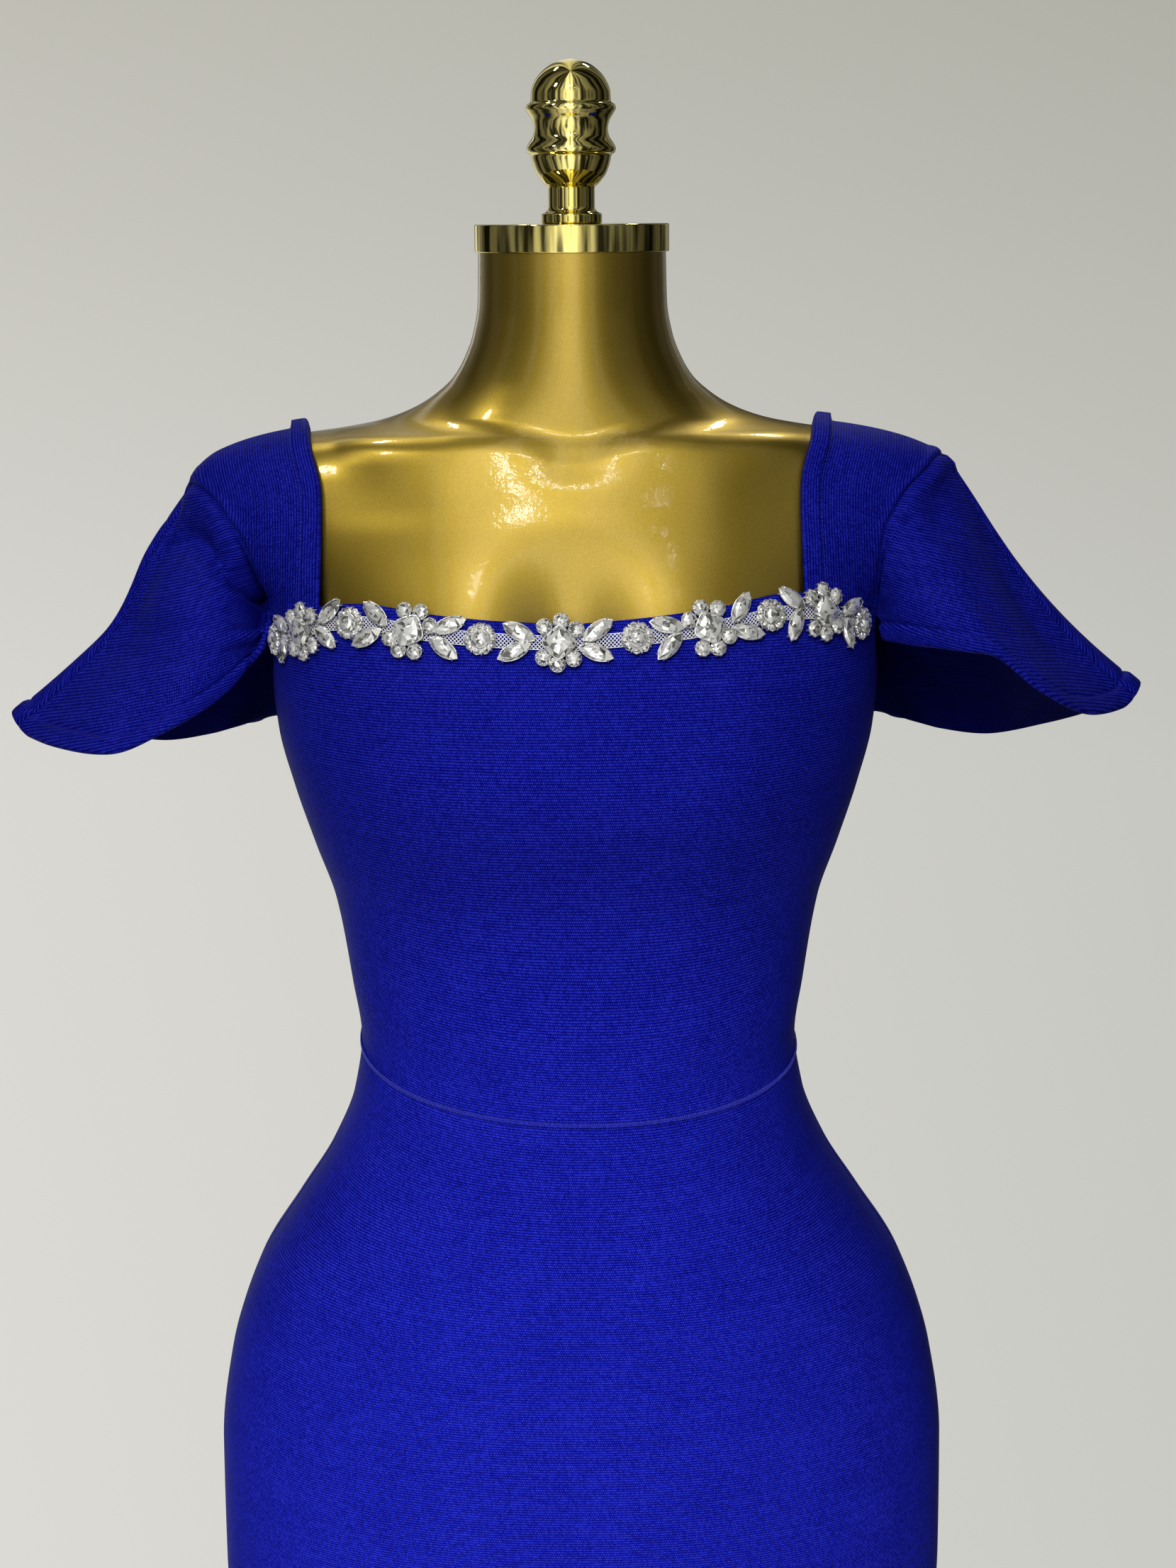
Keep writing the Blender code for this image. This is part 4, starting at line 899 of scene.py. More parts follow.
def bodice(name, turns, top, turned, replaced):
    low = seam_height(turns)
    heights = rows_between(low, top, ROLL_STEPS, NECK_STEPS, BODICE_ROWS)
    raised = waist_roll(heights - low) + turned * neck_turn(top - heights, TURNED_EDGE_RAISE)
    return panel(name, turns, heights, raised, course_level(turns, heights), replaced)


def skirt(name, turns, replaced):
    high = seam_height(turns)
    waist_steps = RIM + (0.0018, 0.0026, 0.0036, 0.005)
    heights = rows_between(HEM_HEIGHT + 0 * turns, high, SKIRT_HEM_STEPS, waist_steps, SKIRT_ROWS)
    raised = neck_turn(heights - HEM_HEIGHT, TURNED_EDGE_RAISE, SKIRT_HEM_WIDTH)
    raised -= SEAM_SINK * bell(high - heights, 0.0026)
    return panel(name, turns, heights, raised, course_level(turns, heights), replaced)


def build_bodice_and_skirt():
    corners = (front_corner_turn(-1), front_corner_turn(1))
    front = turns_between(-math.pi / 2, math.pi / 2, FRONT_COLUMNS, corners)
    back_corner = back_corner_turn()
    back_neck = math.pi - float(turn_at(BACK_NECK_FROM_CENTRE, BACK_NECK_HEIGHT))
    stops = (back_corner, back_neck, 2 * math.pi - back_neck, 2 * math.pi - back_corner)
    back = turns_between(math.pi / 2, 1.5 * math.pi, BACK_COLUMNS, stops)
    neck_front = smoothstep(-0.02, 0.02, corners[1] - np.abs(front))
    neck_back = smoothstep(-0.02, 0.02, (math.pi - back_neck) - np.abs(back - math.pi))
    return {
        "front_bodice": bodice("front_bodice", front, front_top(front), neck_front, "bodice_front"),
        "back_bodice": bodice("back_bodice", back, back_top(back), neck_back, "bodice_back"),
        "front_skirt": skirt("front_skirt", front, "skirt_front"),
        "back_skirt": skirt("back_skirt", back, "skirt_back"),
    }


# ---------------------------------------------------------------- straps

shoulder_heights = np.linspace(SHOULDER_LOW, SHOULDER_HIGH, 400)
shoulder_widths = body["half_width"](shoulder_heights)


def shoulder_top(x):
    return np.interp(np.abs(x), shoulder_widths[::-1], shoulder_heights[::-1])


def over_shoulder(x, along, out):
    """Point over the shoulder at this X, from the front end (-1) over the top (0) to the back end (1)."""
    x, along, out = np.broadcast_arrays(*(np.asarray(value, float) for value in (x, along, out)))
    top = shoulder_top(x)
    low = np.where(along < 0, neck_height(x), BACK_NECK_HEIGHT)
    height = top - (top - low) * along ** 2
    turn = turn_at(x, height)
    turn = np.where(along > 0, np.sign(x) * math.pi - turn, turn)
    return skin(turn, height, out)


def neck_edge_x(side, along):
    return side * strap_edges["neck_edge"](along) + NECK_SHIFT


def sleeve_edge_x(side, along):
    """Where the sleeve is sewn on. The -X strap is wider in front and peaks at the shoulder."""
    front = (side < 0) & (np.asarray(along) < 0)
    wider = np.where(front, WIDER_STRAP * (1 - along ** 6) * (1 - bell(along, 0.3)), 0)
    wider = wider + (side < 0) * STRAP_PEAK * bell(along, 0.26)
    return side * (strap_edges["sleeve_edge"](along) + wider) + SLEEVE_SHIFT * (1 - along ** 2)


def strap_gap(along):
    return STRAP_GAP + (CLOTH_GAP - STRAP_GAP) * along ** 2


def strap_wall(along):
    return CLOTH_WALL + (STRAP_WALL - CLOTH_WALL) * (1 - along ** 2)


def strap(side):
    """A shoulder piece: ribs run along it, its neck edge is turned and stitched."""
    plain = np.linspace(-0.985, 0.985, STRAP_ROWS)
    along = np.concatenate([[-1, -0.998, -0.994], plain, [0.994, 0.998, 1]])[:, None]
    start = neck_edge_x(side, along)
    whole = np.abs(sleeve_edge_x(side, along) - start)
    turned = NECK_STEPS[-1]
    rest = np.linspace(0, 1, 40)[1:]
    near_sleeve = np.array((0.0030, 0.0018, 0.0010, 0.0004, 0.0))
    inset = np.concatenate([np.array(NECK_STEPS) + 0 * whole, turned + (whole - 0.004 - turned) * rest,
                            whole - near_sleeve], axis=1)
    x = start + side * inset
    stands = np.clip((1 - np.abs(along)) / NECK_TURN_EASE, 0, 1)
    behind = smoothstep(0.02, 0.22, along)
    ridge = (NECK_TURN_RAISE * stands + NECK_TURN_PROUD * bell(along, 0.35)) * (1 - 0.8 * behind)
    ridge = np.maximum(ridge, TURNED_EDGE_RAISE * 0.6)
    raised = neck_turn(inset, 1.0) * ridge
    from_sleeve = whole - inset
    piping = PIPING_RAISE * bell(from_sleeve - 0.0026, 0.0022) * (1 - along ** 4)
    rounded = wall_share(np.minimum(inset, 0.0012)) * np.maximum(rounded_over(from_sleeve, 0.0024), 0.2)
    gap = strap_gap(along)
    outer = over_shoulder(x, along, gap + strap_wall(along) * rounded + raised + piping)
    inner = over_shoulder(x, along, gap + 0 * rounded)
    run = arc_lengths(outer, 0)
    places = np.stack([run, inset, from_sleeve], axis=-1)
    word = SIDE_WORDS[side]
    piece = cloth_shell(f"{word}_strap", outer, inner, places, [knit])
    return rides(piece, "royal_blue_knit", f"strap_{word}")


# ---------------------------------------------------------------- sleeves

def sleeve_seam(side, share, tuck):
    """Middle of the sleeve's wall along its seam. tuck moves it in under the edge that it is sewn to."""
    if share <= BACK_STRAP_SHARE:
        front_half = share <= TIP_SHARE
        along = share / TIP_SHARE - 1 if front_half else (share - TIP_SHARE) / (BACK_STRAP_SHARE - TIP_SHARE)
        x = sleeve_edge_x(side, along) + side * (SLEEVE_SEAM_STEP - tuck)
        sunk = min(1.0, tuck / SLEEVE_TUCKS[-1]) * TUCK_SINK
        return over_shoulder(x, along, strap_gap(along) + SLEEVE_SEAM_RISE - sunk)
    reach = (share - BACK_STRAP_SHARE) / (1 - BACK_STRAP_SHARE) * ARMHOLE_REACH
    corner = back_corner_turn()
    turn = corner + (math.pi / 2 - corner) * reach
    height = float(back_top(turn))
    edge = skin(side * turn, height, CLOTH_GAP + CLOTH_WALL / 2)
    lower = skin(side * (turn - 0.01), float(back_top(turn - 0.01)), CLOTH_GAP + CLOTH_WALL / 2)
    out = body_normal(side * turn, height)
    to_opening = unit(np.cross(out, lower - edge)) * -side
    return edge + to_opening * (SLEEVE_SEAM_STEP - tuck) + out * max(0.0002, SLEEVE_SEAM_LAP - 1.6 * tuck)


def fold_rise(folds, share, down):
    """How far the soft folds stand out at places on a sleeve."""
    total = 0 * share * down
    for row in folds:
        fold = dict(zip(FOLD_COLUMNS, row))
        sideways = (share - fold["share"]) * SLEEVE_SHARE_SPAN
        downwards = (down - fold["down"]) * SLEEVE_DOWN_SPAN
        sine, cosine = math.sin(math.radians(fold["lean"])), math.cos(math.radians(fold["lean"]))
        across, along = sideways * cosine - downwards * sine, sideways * sine + downwards * cosine
        total = total + fold["rise"] * bell(across, fold["width"]) * bell(along, fold["length"])
    return total * (1 - bell(down, FOLD_FREE_DOWN))


def sleeve_normals(points, side):
    return unit(np.cross(np.gradient(points, axis=0), np.gradient(points, axis=1))) * -side


def sleeve_hem_turn(from_hem):
    """The hem is turned under and blind stitched: a soft full edge with a shallow line above it."""
    fall = 1 - smoothstep(SLEEVE_HEM_WIDTH - 0.0032, SLEEVE_HEM_WIDTH + 0.0004, from_hem)
    groove = SLEEVE_HEM_GROOVE * bell(from_hem - SLEEVE_HEM_WIDTH - 0.0006, 0.0011)
    return TURNED_EDGE_RAISE * 1.5 * rounded_over(from_hem, 0.0030) * fall - groove


def sleeve_shares():
    """Columns round a sleeve, first those of its front piece, then as many of its back piece."""
    ends = np.array((0, 0.0015, 0.004, 0.008))
    front_end, back_start = OVERARM_SHARE - OVERARM_GAP, OVERARM_SHARE + OVERARM_GAP
    front = (ends, np.linspace(0.014, OVERARM_SHARE - 0.014, SLEEVE_COLUMNS), front_end - ends[::-1])
    back = (back_start + ends, np.linspace(OVERARM_SHARE + 0.014, 0.986, SLEEVE_COLUMNS), 1 - ends[::-1])
    return np.concatenate(front + back)


def sleeve_rows(length):
    """How far down each column its rows lie, with the same steps in from the hem on all."""
    steps = np.array(SLEEVE_HEM_STEPS)
    body_end = 1 - np.minimum(0.80, steps[0] / length)
    plain = np.linspace(0, 1, SLEEVE_ROWS)[None, :-1] ** 0.95 * body_end[:, None]
    band = 1 - (1 - body_end)[:, None] * steps[None, :] / steps[0]
    return np.concatenate([plain, band], axis=1)


def sleeve_middle(side, folds, share, seam, hem, down):
    """Middle of the wall from seam to hem, bowed towards the arm, with its soft folds."""
    inward = np.array(SLEEVE_HOLLOW) * np.array([side, 1, 1]) - (seam + hem) / 2
    chord = unit(hem - seam)
    inward = unit(inward - chord * np.sum(inward * chord, axis=-1, keepdims=True))
    hollow = sleeve_hem["bow"](share)[:, None] * np.sin(math.pi * down ** 1.1)
    middle = seam[:, None] + (hem - seam)[:, None] * down[..., None] + inward[:, None] * hollow[..., None]
    return middle + sleeve_normals(middle, side) * fold_rise(folds, share[:, None], down)[..., None]


def sleeve(side, folds):
    """A flared cap sleeve in two pieces, front and back, that meet at the seam over the arm."""
    share = sleeve_shares()
    split = len(share) // 2
    seam = np.array([sleeve_seam(side, s, 0) for s in share])
    tucks = [np.array([sleeve_seam(side, s, tuck) for s in share]) for tuck in SLEEVE_TUCKS]
    height = sleeve_hem["height_plus_x" if side > 0 else "height_minus_x"](share)
    hem = np.stack([side * sleeve_hem["out"](share), sleeve_hem["depth"](share), height], axis=-1)
    length = np.linalg.norm(hem - seam, axis=-1)
    down = sleeve_rows(length)
    middle = sleeve_middle(side, folds, share, seam, hem, down)
    middle = np.concatenate([np.stack(tucks, axis=1), middle], axis=1)
    normals = sleeve_normals(middle, side)
    down = np.concatenate([np.zeros((len(share), len(tucks))), down], axis=1)
    from_hem = (1 - down) * length[:, None]
    from_ends = np.minimum(share, 1 - share)[:, None] * SLEEVE_SHARE_SPAN
    around = arc_lengths(middle, 0)
    from_overarm = np.abs(around - (around[split - 1] + around[split]) / 2)
    half = CLOTH_WALL / 2 * wall_share(np.minimum(np.minimum(from_hem, from_ends), from_overarm))
    half[:, :len(tucks)] *= 0.8
    puff = SEAM_PUFF * bell(down * length[:, None] - 0.0042, 0.0028)
    puff[:, :len(tucks)] = 0
    puff += OVERARM_PUFF * bell(from_overarm - 0.0032, 0.0020)
    puff -= OVERARM_GROOVE * bell(from_overarm, 0.0012) * (down > 0.02)
    outer = middle + normals * (half + sleeve_hem_turn(from_hem) + puff)[..., None]
    inner = middle - normals * half[..., None]
    level = middle[..., 2] + FRONT_RIB_SLOPE * np.abs(middle[..., 0])
    level[split:] = level[split] - BACK_RIB_SLOPE * (around[split:] - around[split])
    places = np.stack([around, level, from_hem], axis=-1)
    word = SIDE_WORDS[side]
    pieces = []
    for part, columns in (("front", slice(0, split)), ("back", slice(split, None))):
        sheets = (grid[columns] for grid in (outer, inner, places))
        # Inside faces take the knit painted darker, as painted shade inside the sleeve.
        shell = cloth_shell(f"{word}_sleeve_{part}", *sheets, [knit, painted_shade_inside])
        pieces.append(rides(shell, "royal_blue_knit", f"sleeve_{word}_{part}"))
    return pieces


# ---------------------------------------------------------------- sewing

def stitch_row(name, points, normals, pitch, lean, size, lift):
    """Stitches along a line of points, leaning towards the side that the normal and the line give."""
    distance = arc_lengths(points, 0)
    stations = np.arange(pitch / 2, distance[-1], pitch)

    def along_line(values, ahead=0.0):
        return np.stack([np.interp(stations + ahead, distance, values[:, i]) for i in range(3)], axis=-1)

    out = unit(along_line(normals))
    run = unit(along_line(points, pitch / 2) - along_line(points, -pitch / 2))
    run = run * math.cos(lean) + np.cross(out, run) * math.sin(lean)
    scale = 1 + 0.10 * (np.random.default_rng(len(stations)).random(len(stations)) - 0.5)
    piece = beads(name, stitches_of_thread, along_line(points) + out * lift, run, out, scale, *size)
    return rides(piece, "royal_blue_knit")


def build_sewing():
    """Overlocked waist seam and topstitching. Returns the stitch pieces by the panel they are on."""
    turns = np.linspace(0, 2 * math.pi, 700)
    above = 0.0017
    level = seam_height(turns) + above
    out = CLOTH_GAP + CLOTH_WALL + float(waist_roll(np.array(above)))
    waist = stitch_row("waist_overlock", skin(turns, level, out), body_normal(turns, level), pitch=0.00115,
                       lean=math.radians(62), size=(0.0030, 0.00075, 0.0006), lift=-0.00005)
    rows = {"front_bodice": [waist]}
    for side, word in SIDE_WORDS.items():
        along = np.linspace(-0.985, 0.985, 200)
        x = neck_edge_x(side, along) + side * (NECK_TURN_WIDTH + 0.0003)
        out = strap_gap(along) + strap_wall(along)
        line, above_line = over_shoulder(x, along, out), over_shoulder(x, along, out + 0.001)
        row = stitch_row(f"{word}_strap_topstitch", line, unit(above_line - line), pitch=0.0021, lean=0.0,
                         size=(0.0015, 0.0005, 0.0004), lift=0.0)
        rows[f"{word}_strap"] = [row]
    return rows


# ---------------------------------------------------------------- trim

def trim_route():
    x = np.linspace(-TRIM_REACH, TRIM_REACH, 633)
    height = neck_height(x) - TRIM_DROP
    points = skin(turn_at(x, height), height, 0)
    distance = np.concatenate([[0], np.cumsum(np.linalg.norm(np.diff(points, axis=0), axis=1))])
    return x, distance - np.interp(TRIM_MIDDLE, x, distance)


route_x, route_distance = trim_route()


def trim_spot(distance, off_line=0.0):
    """Turn and height of places on the front, at these distances along the tape's line and off it."""
    x = np.interp(distance, route_distance, route_x)
    height = neck_height(x) - TRIM_DROP + off_line
    return turn_at(x, height), height


def trim_point(distance, off_line, out):
    return skin(*trim_spot(distance, off_line), out)


def trim_place(distance, off_line, tilt, out):
    """Placing matrix of a stone: local X along the tape, Y across it, Z outwards."""
    spot = trim_spot(distance)
    out_way = Vector(body_normal(*spot))
    along = Vector(trim_point(distance + 0.002, 0, 0) - skin(*spot, 0)).normalized()
    up = out_way.cross(along).normalized()
    along = up.cross(out_way).normalized()
    rotation = Matrix((along, up, out_way)).transposed().to_4x4() @ Matrix.Rotation(tilt, 4, "Z")
    return Matrix.Translation(Vector(skin(*spot, out)) + up * off_line) @ rotation


def trim_station(step):
    return FLOWER_STEP * step - TRIM_EASE * step * abs(step)


# Mean grey of the painted reflections on the faces of a stone.
FACET_GLINT_MEAN = 0.62
STONE, METAL = 0, 1         # what a body of a pile is made of


class Pile:
    """Points and faces of one trim piece, gathered stone by stone."""

    def __init__(self, seed):
        self.points, self.faces, self.kinds, self.glint_tones = [], [], [], []
        self.random = np.random.default_rng(seed)

    def rings(self, rings, kind, contrast):
        """A closed body through rings of points, each with its own count, closed by flat ends."""
        counts = [len(ring) for ring in rings]
        starts = len(self.points) + np.cumsum([0] + counts)
        faces = []
        for i, (low, high) in enumerate(zip(counts[:-1], counts[1:])):
            faces += belt(starts[i], low, starts[i + 1], high)
        faces += [range(starts[0], starts[1])[::-1], range(starts[-2], starts[-1])]
        self.points += [point for ring in rings for point in ring]
        self.faces += faces
        self.kinds += [kind] * len(faces)
        # Each face gets a random grey: painted reflections and glints on the stones.
        self.glint_tones += list(FACET_GLINT_MEAN + contrast * (self.random.random(len(faces)) - 0.5))

    def piece(self, name, place):
        mesh = bpy.data.meshes.new(name)
        mesh.from_pydata(self.points, [], self.faces)
        mesh.transform(place)
        mesh.polygons.foreach_set("material_index", self.kinds)
        glint_tones = mesh.attributes.new("facet_glint", "FLOAT", "FACE")
        glint_tones.data.foreach_set("value", np.array(self.glint_tones, np.float32))
        return place_piece(name, mesh, [cut_glass, silver])


def belt(low_start, low, high_start, high):
    """Faces between a ring of points and the next, which has as many points or half as many."""
    faces = []
    for i in range(high):
        j = (i + 1) % high
        if low == high:
            faces.append((low_start + i, low_start + j, high_start + j, high_start + i))
        else:
            a, b, c = low_start + 2 * i, low_start + 2 * i + 1, low_start + (2 * i + 2) % low
            faces += [(a, b, high_start + i), (b, high_start + j, high_start + i), (b, c, high_start + j)]
    return faces


def oval_point(length, width, power, angle, centre, turned):
    """A point on an oval that lies turned; a power under 2 makes its ends pointed."""
    across, along = abs(math.sin(angle)), abs(math.cos(angle))
    reach = 1 / ((along / (length / 2)) ** power + (across / (width / 2)) ** power) ** (1 / power)
    x, y = reach * math.cos(angle), reach * math.sin(angle)
    c, s = math.cos(turned), math.sin(turned)
    return centre[0] + x * c - y * s, centre[1] + x * s + y * c


def cut_stone(pile, centre, length, width, power, base, height, count, turned=0.0):
    """A cut stone in a metal cup: girdle, crown facets in two tiers and a table."""
    def ring(scale, at, number, phase=0.0):
        angles = (2 * math.pi * (i + phase) / number for i in range(number))
        return [(*oval_point(length * scale, width * scale, power, a, centre, turned), at) for a in angles]

    girdle, top, wall = base + 0.40 * height, base + height, 0.00010
    # The stone's faces get painted reflections of strong contrast.
    pile.rings([ring(0.80, base, 2 * count), ring(0.97, girdle - 0.10 * height, 2 * count),
                ring(0.97, girdle, 2 * count), ring(0.74, girdle + 0.36 * height, count, 0.5),
                ring(0.42, top - 0.06 * height, count), ring(0.20, top, count, 0.5)], STONE, 1.05)
    pile.rings([ring(0.86 + wall / width, base, 2 * count), ring(1.0 + 2 * wall / width, girdle, 2 * count),
                ring(0.96, girdle + 0.0001, 2 * count), ring(0.80, base + 0.0002, 2 * count)], METAL, 0.2)


def prong(pile, at, towards, base, top, thickness):
    """A small claw that rises beside a stone and bends over its edge."""
    lean = Vector((towards[0] - at[0], towards[1] - at[1], 0)).normalized()
    side = Vector((-lean.y, lean.x, 0))
    foot = Vector((at[0], at[1], base))
    ways = [lean * math.cos(a) + side * math.sin(a) for a in (2 * math.pi * i / 6 for i in range(6))]
    rings = []
    for rise, inward, scale in ((0.0, 0.0, 1.0), (0.55, 0.05, 1.0), (0.85, 0.45, 0.95), (1.0, 1.1, 0.6)):
        middle = foot + Vector((0, 0, (top - base) * rise)) + lean * thickness * inward
        rings.append([tuple(middle + way * thickness * scale / 2) for way in ways])
    pile.rings(rings, METAL, 0.2)


def claws(pile, centre, length, width, power, base, top, angles, turned=0.0):
    """Claws round a stone, at these angles in degrees."""
    for angle in angles:
        at = oval_point(length, width, power, math.radians(angle), centre, turned)
        prong(pile, at, centre, base, top, CLAW_THICKNESS)


SEAT = CLOTH_GAP + CLOTH_WALL + TAPE_GAP + TAPE_THICKNESS + SEAM_GAP


def round_place(radius, angle):
    return radius * math.cos(angle), radius * math.sin(angle)


def flower(number, distance, turned):
    """Six round stones around a square one that stands on its corner."""
    pile = Pile(100 + number)
    stone = 2 * PETAL_RADIUS - 0.0004
    for angle in PETAL_ANGLES:
        a = math.radians(angle)
        petal = (pile, round_place(PETAL_DISTANCE, a), stone, stone, 2)
        cut_stone(*petal, base=0.0004, height=0.0032, count=6, turned=a)
        claws(*petal, base=0, top=0.0031, angles=range(0, 360, 40), turned=a)
    side = 2 * FLOWER_HEART_RADIUS - 0.0006
    heart = (pile, (0, 0), side, side, 5.0)
    corner = math.radians(45)
    cut_stone(*heart, base=0.0016, height=0.0038, count=12, turned=corner)
    claws(*heart, base=0.0004, top=0.0046, angles=(18, 72, 108, 162, 198, 252, 288, 342), turned=corner)
    place = trim_place(distance, 0, turned, SEAT)
    return rides(pile.piece(f"flower_{number}", place), "clear_crystal", f"trim_flower_{number}")


def leaf(name, node, distance, off_line, tilt, seed):
    pile = Pile(seed)
    stone = (pile, (0, 0), LEAF_LENGTH - 0.0006, LEAF_WIDTH + 0.0002, LEAF_POINT)
    cut_stone(*stone, base=0.0003, height=LEAF_THICKNESS - 0.0003, count=7)
    claws(*stone, base=0, top=LEAF_THICKNESS - 0.0008, angles=(17, 163, 197, 343))
    return rides(pile.piece(name, trim_place(distance, off_line, tilt, SEAT)), "clear_crystal", node)


def rosette(number, distance):
    """A ring of round beads, held between an outer and an inner ring of claws, about a larger stone."""
    pile = Pile(200 + number)
    bead, heart = ROSETTE_BEAD, 2 * ROSETTE_HEART_RADIUS
    for i in range(ROSETTE_BEADS):
        a = 2 * math.pi * (i + 0.5) / ROSETTE_BEADS
        cut_stone(pile, round_place(ROSETTE_RADIUS - bead / 2, a), bead, bead, 2, base=0.0003, height=0.0024,
                  count=4, turned=a)
        between = a + math.pi / ROSETTE_BEADS
        for inset, top, thickness in ((0.0003, 0.0026, 0.0010), (bead, 0.0034, CLAW_THICKNESS)):
            prong(pile, round_place(ROSETTE_RADIUS - inset, between), (0, 0), 0, top, thickness)
    cut_stone(pile, (0, 0), heart, heart, 2, base=0.0010, height=ROSETTE_THICKNESS - 0.0010, count=8)
    place = trim_place(distance, 0, 0, SEAT)
    return rides(pile.piece(f"rosette_{number}", place), "clear_crystal", f"trim_rosette_{number}")


def net_tape():
    """The net under the stones: crossing threads between two edge cords."""
    half = trim_station(2) + END_ROSETTE_STEP + ROSETTE_RADIUS
    middle = CLOTH_GAP + CLOTH_WALL + TAPE_GAP + TAPE_THICKNESS / 2
    paths = []
    across = np.linspace(-NET_HALF_WIDTH, NET_HALF_WIDTH, 9) * TAPE_WIDTH
    for start in np.arange(-half - TAPE_WIDTH, half + TAPE_WIDTH, NET_CELL):
        for way in (-1, 1):
            run = start + way * across
            inside = np.abs(run) <= half
            if inside.sum() > 1:
                paths.append(trim_point(run[inside], across[inside], middle + way * 0.0001))
    run = np.linspace(-half, half, 240)
    paths += [trim_point(run, off_line * TAPE_WIDTH, middle) for off_line in (-NET_HALF_WIDTH, NET_HALF_WIDTH)]
    return rides(strands("net_tape", strands_of_net, paths, NET_THREAD_RADIUS), "silver_net", "trim_tape")


def build_trim():
    pieces = [net_tape()]
    end = trim_station(2) + END_ROSETTE_STEP
    rosettes = [-end, end] + [trim_station(step + 0.5) for step in range(-2, 2)]
    for number, distance in enumerate(sorted(rosettes), 1):
        pieces.append(rosette(number, distance))
    for number, turned in enumerate(FLOWER_TURNS, 1):
        pieces.append(flower(number, trim_station(number - 3), math.radians(turned)))
    for seed, row in enumerate(LEAVES, 300):
        place = dict(zip(LEAF_COLUMNS, row))
        side, rise = place["side"], place["rise"]
        name = f"leaf_{place['flower']}_{LEAF_SIDES[side]}_{LEAF_RISES[rise]}"
        middle = trim_station(place["flower"] - 3) + side * place["from_flower"]
        tilt = side * rise * math.radians(place["tilt"])
        pieces.append(leaf(name, "trim_" + name, middle, rise * place["off_line"], tilt, seed))
    return pieces


# ---------------------------------------------------------------- form and stand

# Upper edge of the chest's shelf: the collarbones, from the middle outwards
COLLARBONE_COLUMNS = ("beside", "height", "depth")
COLLARBONE = (
    (0.000, 1.3650, 0.0028), (0.007, 1.3654, 0.0029), (0.016, 1.3674, 0.0036), (0.026, 1.3694, 0.0044),
    (0.038, 1.3704, 0.0050), (0.054, 1.3700, 0.0053), (0.070, 1.3688, 0.0050), (0.088, 1.3692, 0.0042),
    (0.104, 1.3705, 0.0022), (0.116, 1.3710, 0.0000),
)
SHELF_DEPTH = 0.0045
VALLEY_DEPTH = 0.0095
VALLEY_WIDTH = 0.028
collarbone = curves_of(COLLARBONE_COLUMNS, COLLARBONE)


def chest_relief(points, turn):
    """The chest's shelf, its collarbones and the valley below them, as distances out from the skin."""
    x, z = points[..., 0], points[..., 2]
    front = smoothstep(0.05, 0.35, np.cos(turn))
    beside = np.abs(x)
    edge, depth = collarbone["height"](beside), collarbone["depth"](beside)
    chest = SHELF_DEPTH * smoothstep(0.112, 0.060, beside)
    depth = chest + (depth - chest) * bell(np.maximum(edge - 0.003 - z, 0), 0.012)
    shelf = depth * smoothstep(-0.0095, 0.0080, edge - z) * smoothstep(1.296, 1.350, z)
    fullness = 0.0016 * bell(beside - 0.062, 0.032) * bell(z - 1.298, 0.022)
    valley = -VALLEY_DEPTH * bell(x + 0.003, VALLEY_WIDTH) * smoothstep(1.336, 1.282, z)
    return front * (shelf + fullness + valley)


def gold_torso():
    heights = np.concatenate([np.linspace(TORSO_BOTTOM, 1.325, 120), np.linspace(1.327, 1.361, 40),
                              np.linspace(1.3616, 1.4000, 90), np.linspace(1.4012, NECK_TOP, 40)])[:, None]
    turns = np.linspace(0, 2 * math.pi, TORSO_COLUMNS, endpoint=False)[None, :]
    flat = skin(turns, heights, 0, bridged=False)
    grid = skin(turns, heights, chest_relief(flat, turns), bridged=False)
    torso = closed_tube("gold_torso", grid, (TORSO_BOTTOM, NECK_TOP), 60, [gold_paint])
    return rides(torso, "gold_paint", "form_torso")


def rounded_disc(radius, low, high, edge, steps=6):
    """Profile of a disc with rounded rims."""
    angles = [math.pi / 2 * i / steps for i in range(steps + 1)]
    lower = [(radius - edge + edge * math.sin(a), low + edge - edge * math.cos(a)) for a in angles]
    return lower + [(radius - edge + edge * math.cos(a), high - edge + edge * math.sin(a)) for a in angles]


def smooth_profile(pairs, count):
    """Points on a smooth curve through (height, radius) pairs, as (radius, height)."""
    pairs = np.array(pairs)
    distance = np.concatenate([[0], np.cumsum(np.linalg.norm(np.diff(pairs, axis=0), axis=1))])
    stations = np.linspace(0, distance[-1], count)
    height = smooth_through(distance, pairs[:, 0])(stations)
    radius = smooth_through(distance, pairs[:, 1])(stations)
    return list(zip(radius, height))


def build_form():
    gold_torso()
    cap_bottom = NECK_TOP + 0.0001
    finial_bottom = cap_bottom + CAP_THICKNESS
    finial = [(radius, finial_bottom + height) for radius, height in smooth_profile(FINIAL_PROFILE, 150)]
    low, high = BASE_THICKNESS, BASE_THICKNESS + COLLAR_HEIGHT
    wide = COLLAR_RADIUS
    collar = [(wide, low), (wide, low + 0.0055), (wide - 0.0006, low + 0.0062), (wide * 0.76, high - 0.006),
              (wide * 0.68, high - 0.0012), (wide * 0.64, high)]
    for name, node, profile, segments in (
            ("neck_disc", "form_neck_cap", rounded_disc(CAP_RADIUS, cap_bottom, finial_bottom, 0.0007), 160),
            ("finial", "form_finial", finial, 96),
            ("stand_base", "form_base", rounded_disc(BASE_RADIUS, 0, BASE_THICKNESS, 0.0025), 200),
            ("pole", "form_pole", [(POLE_RADIUS, low - 0.001), (POLE_RADIUS, TORSO_BOTTOM + 0.001)], 64),
            ("pole_collar", "form_collar", collar, 96)):
        rides(lathe(name, profile, [polished_gold], segments), "polished_gold", node)


# ---------------------------------------------------------------- studio

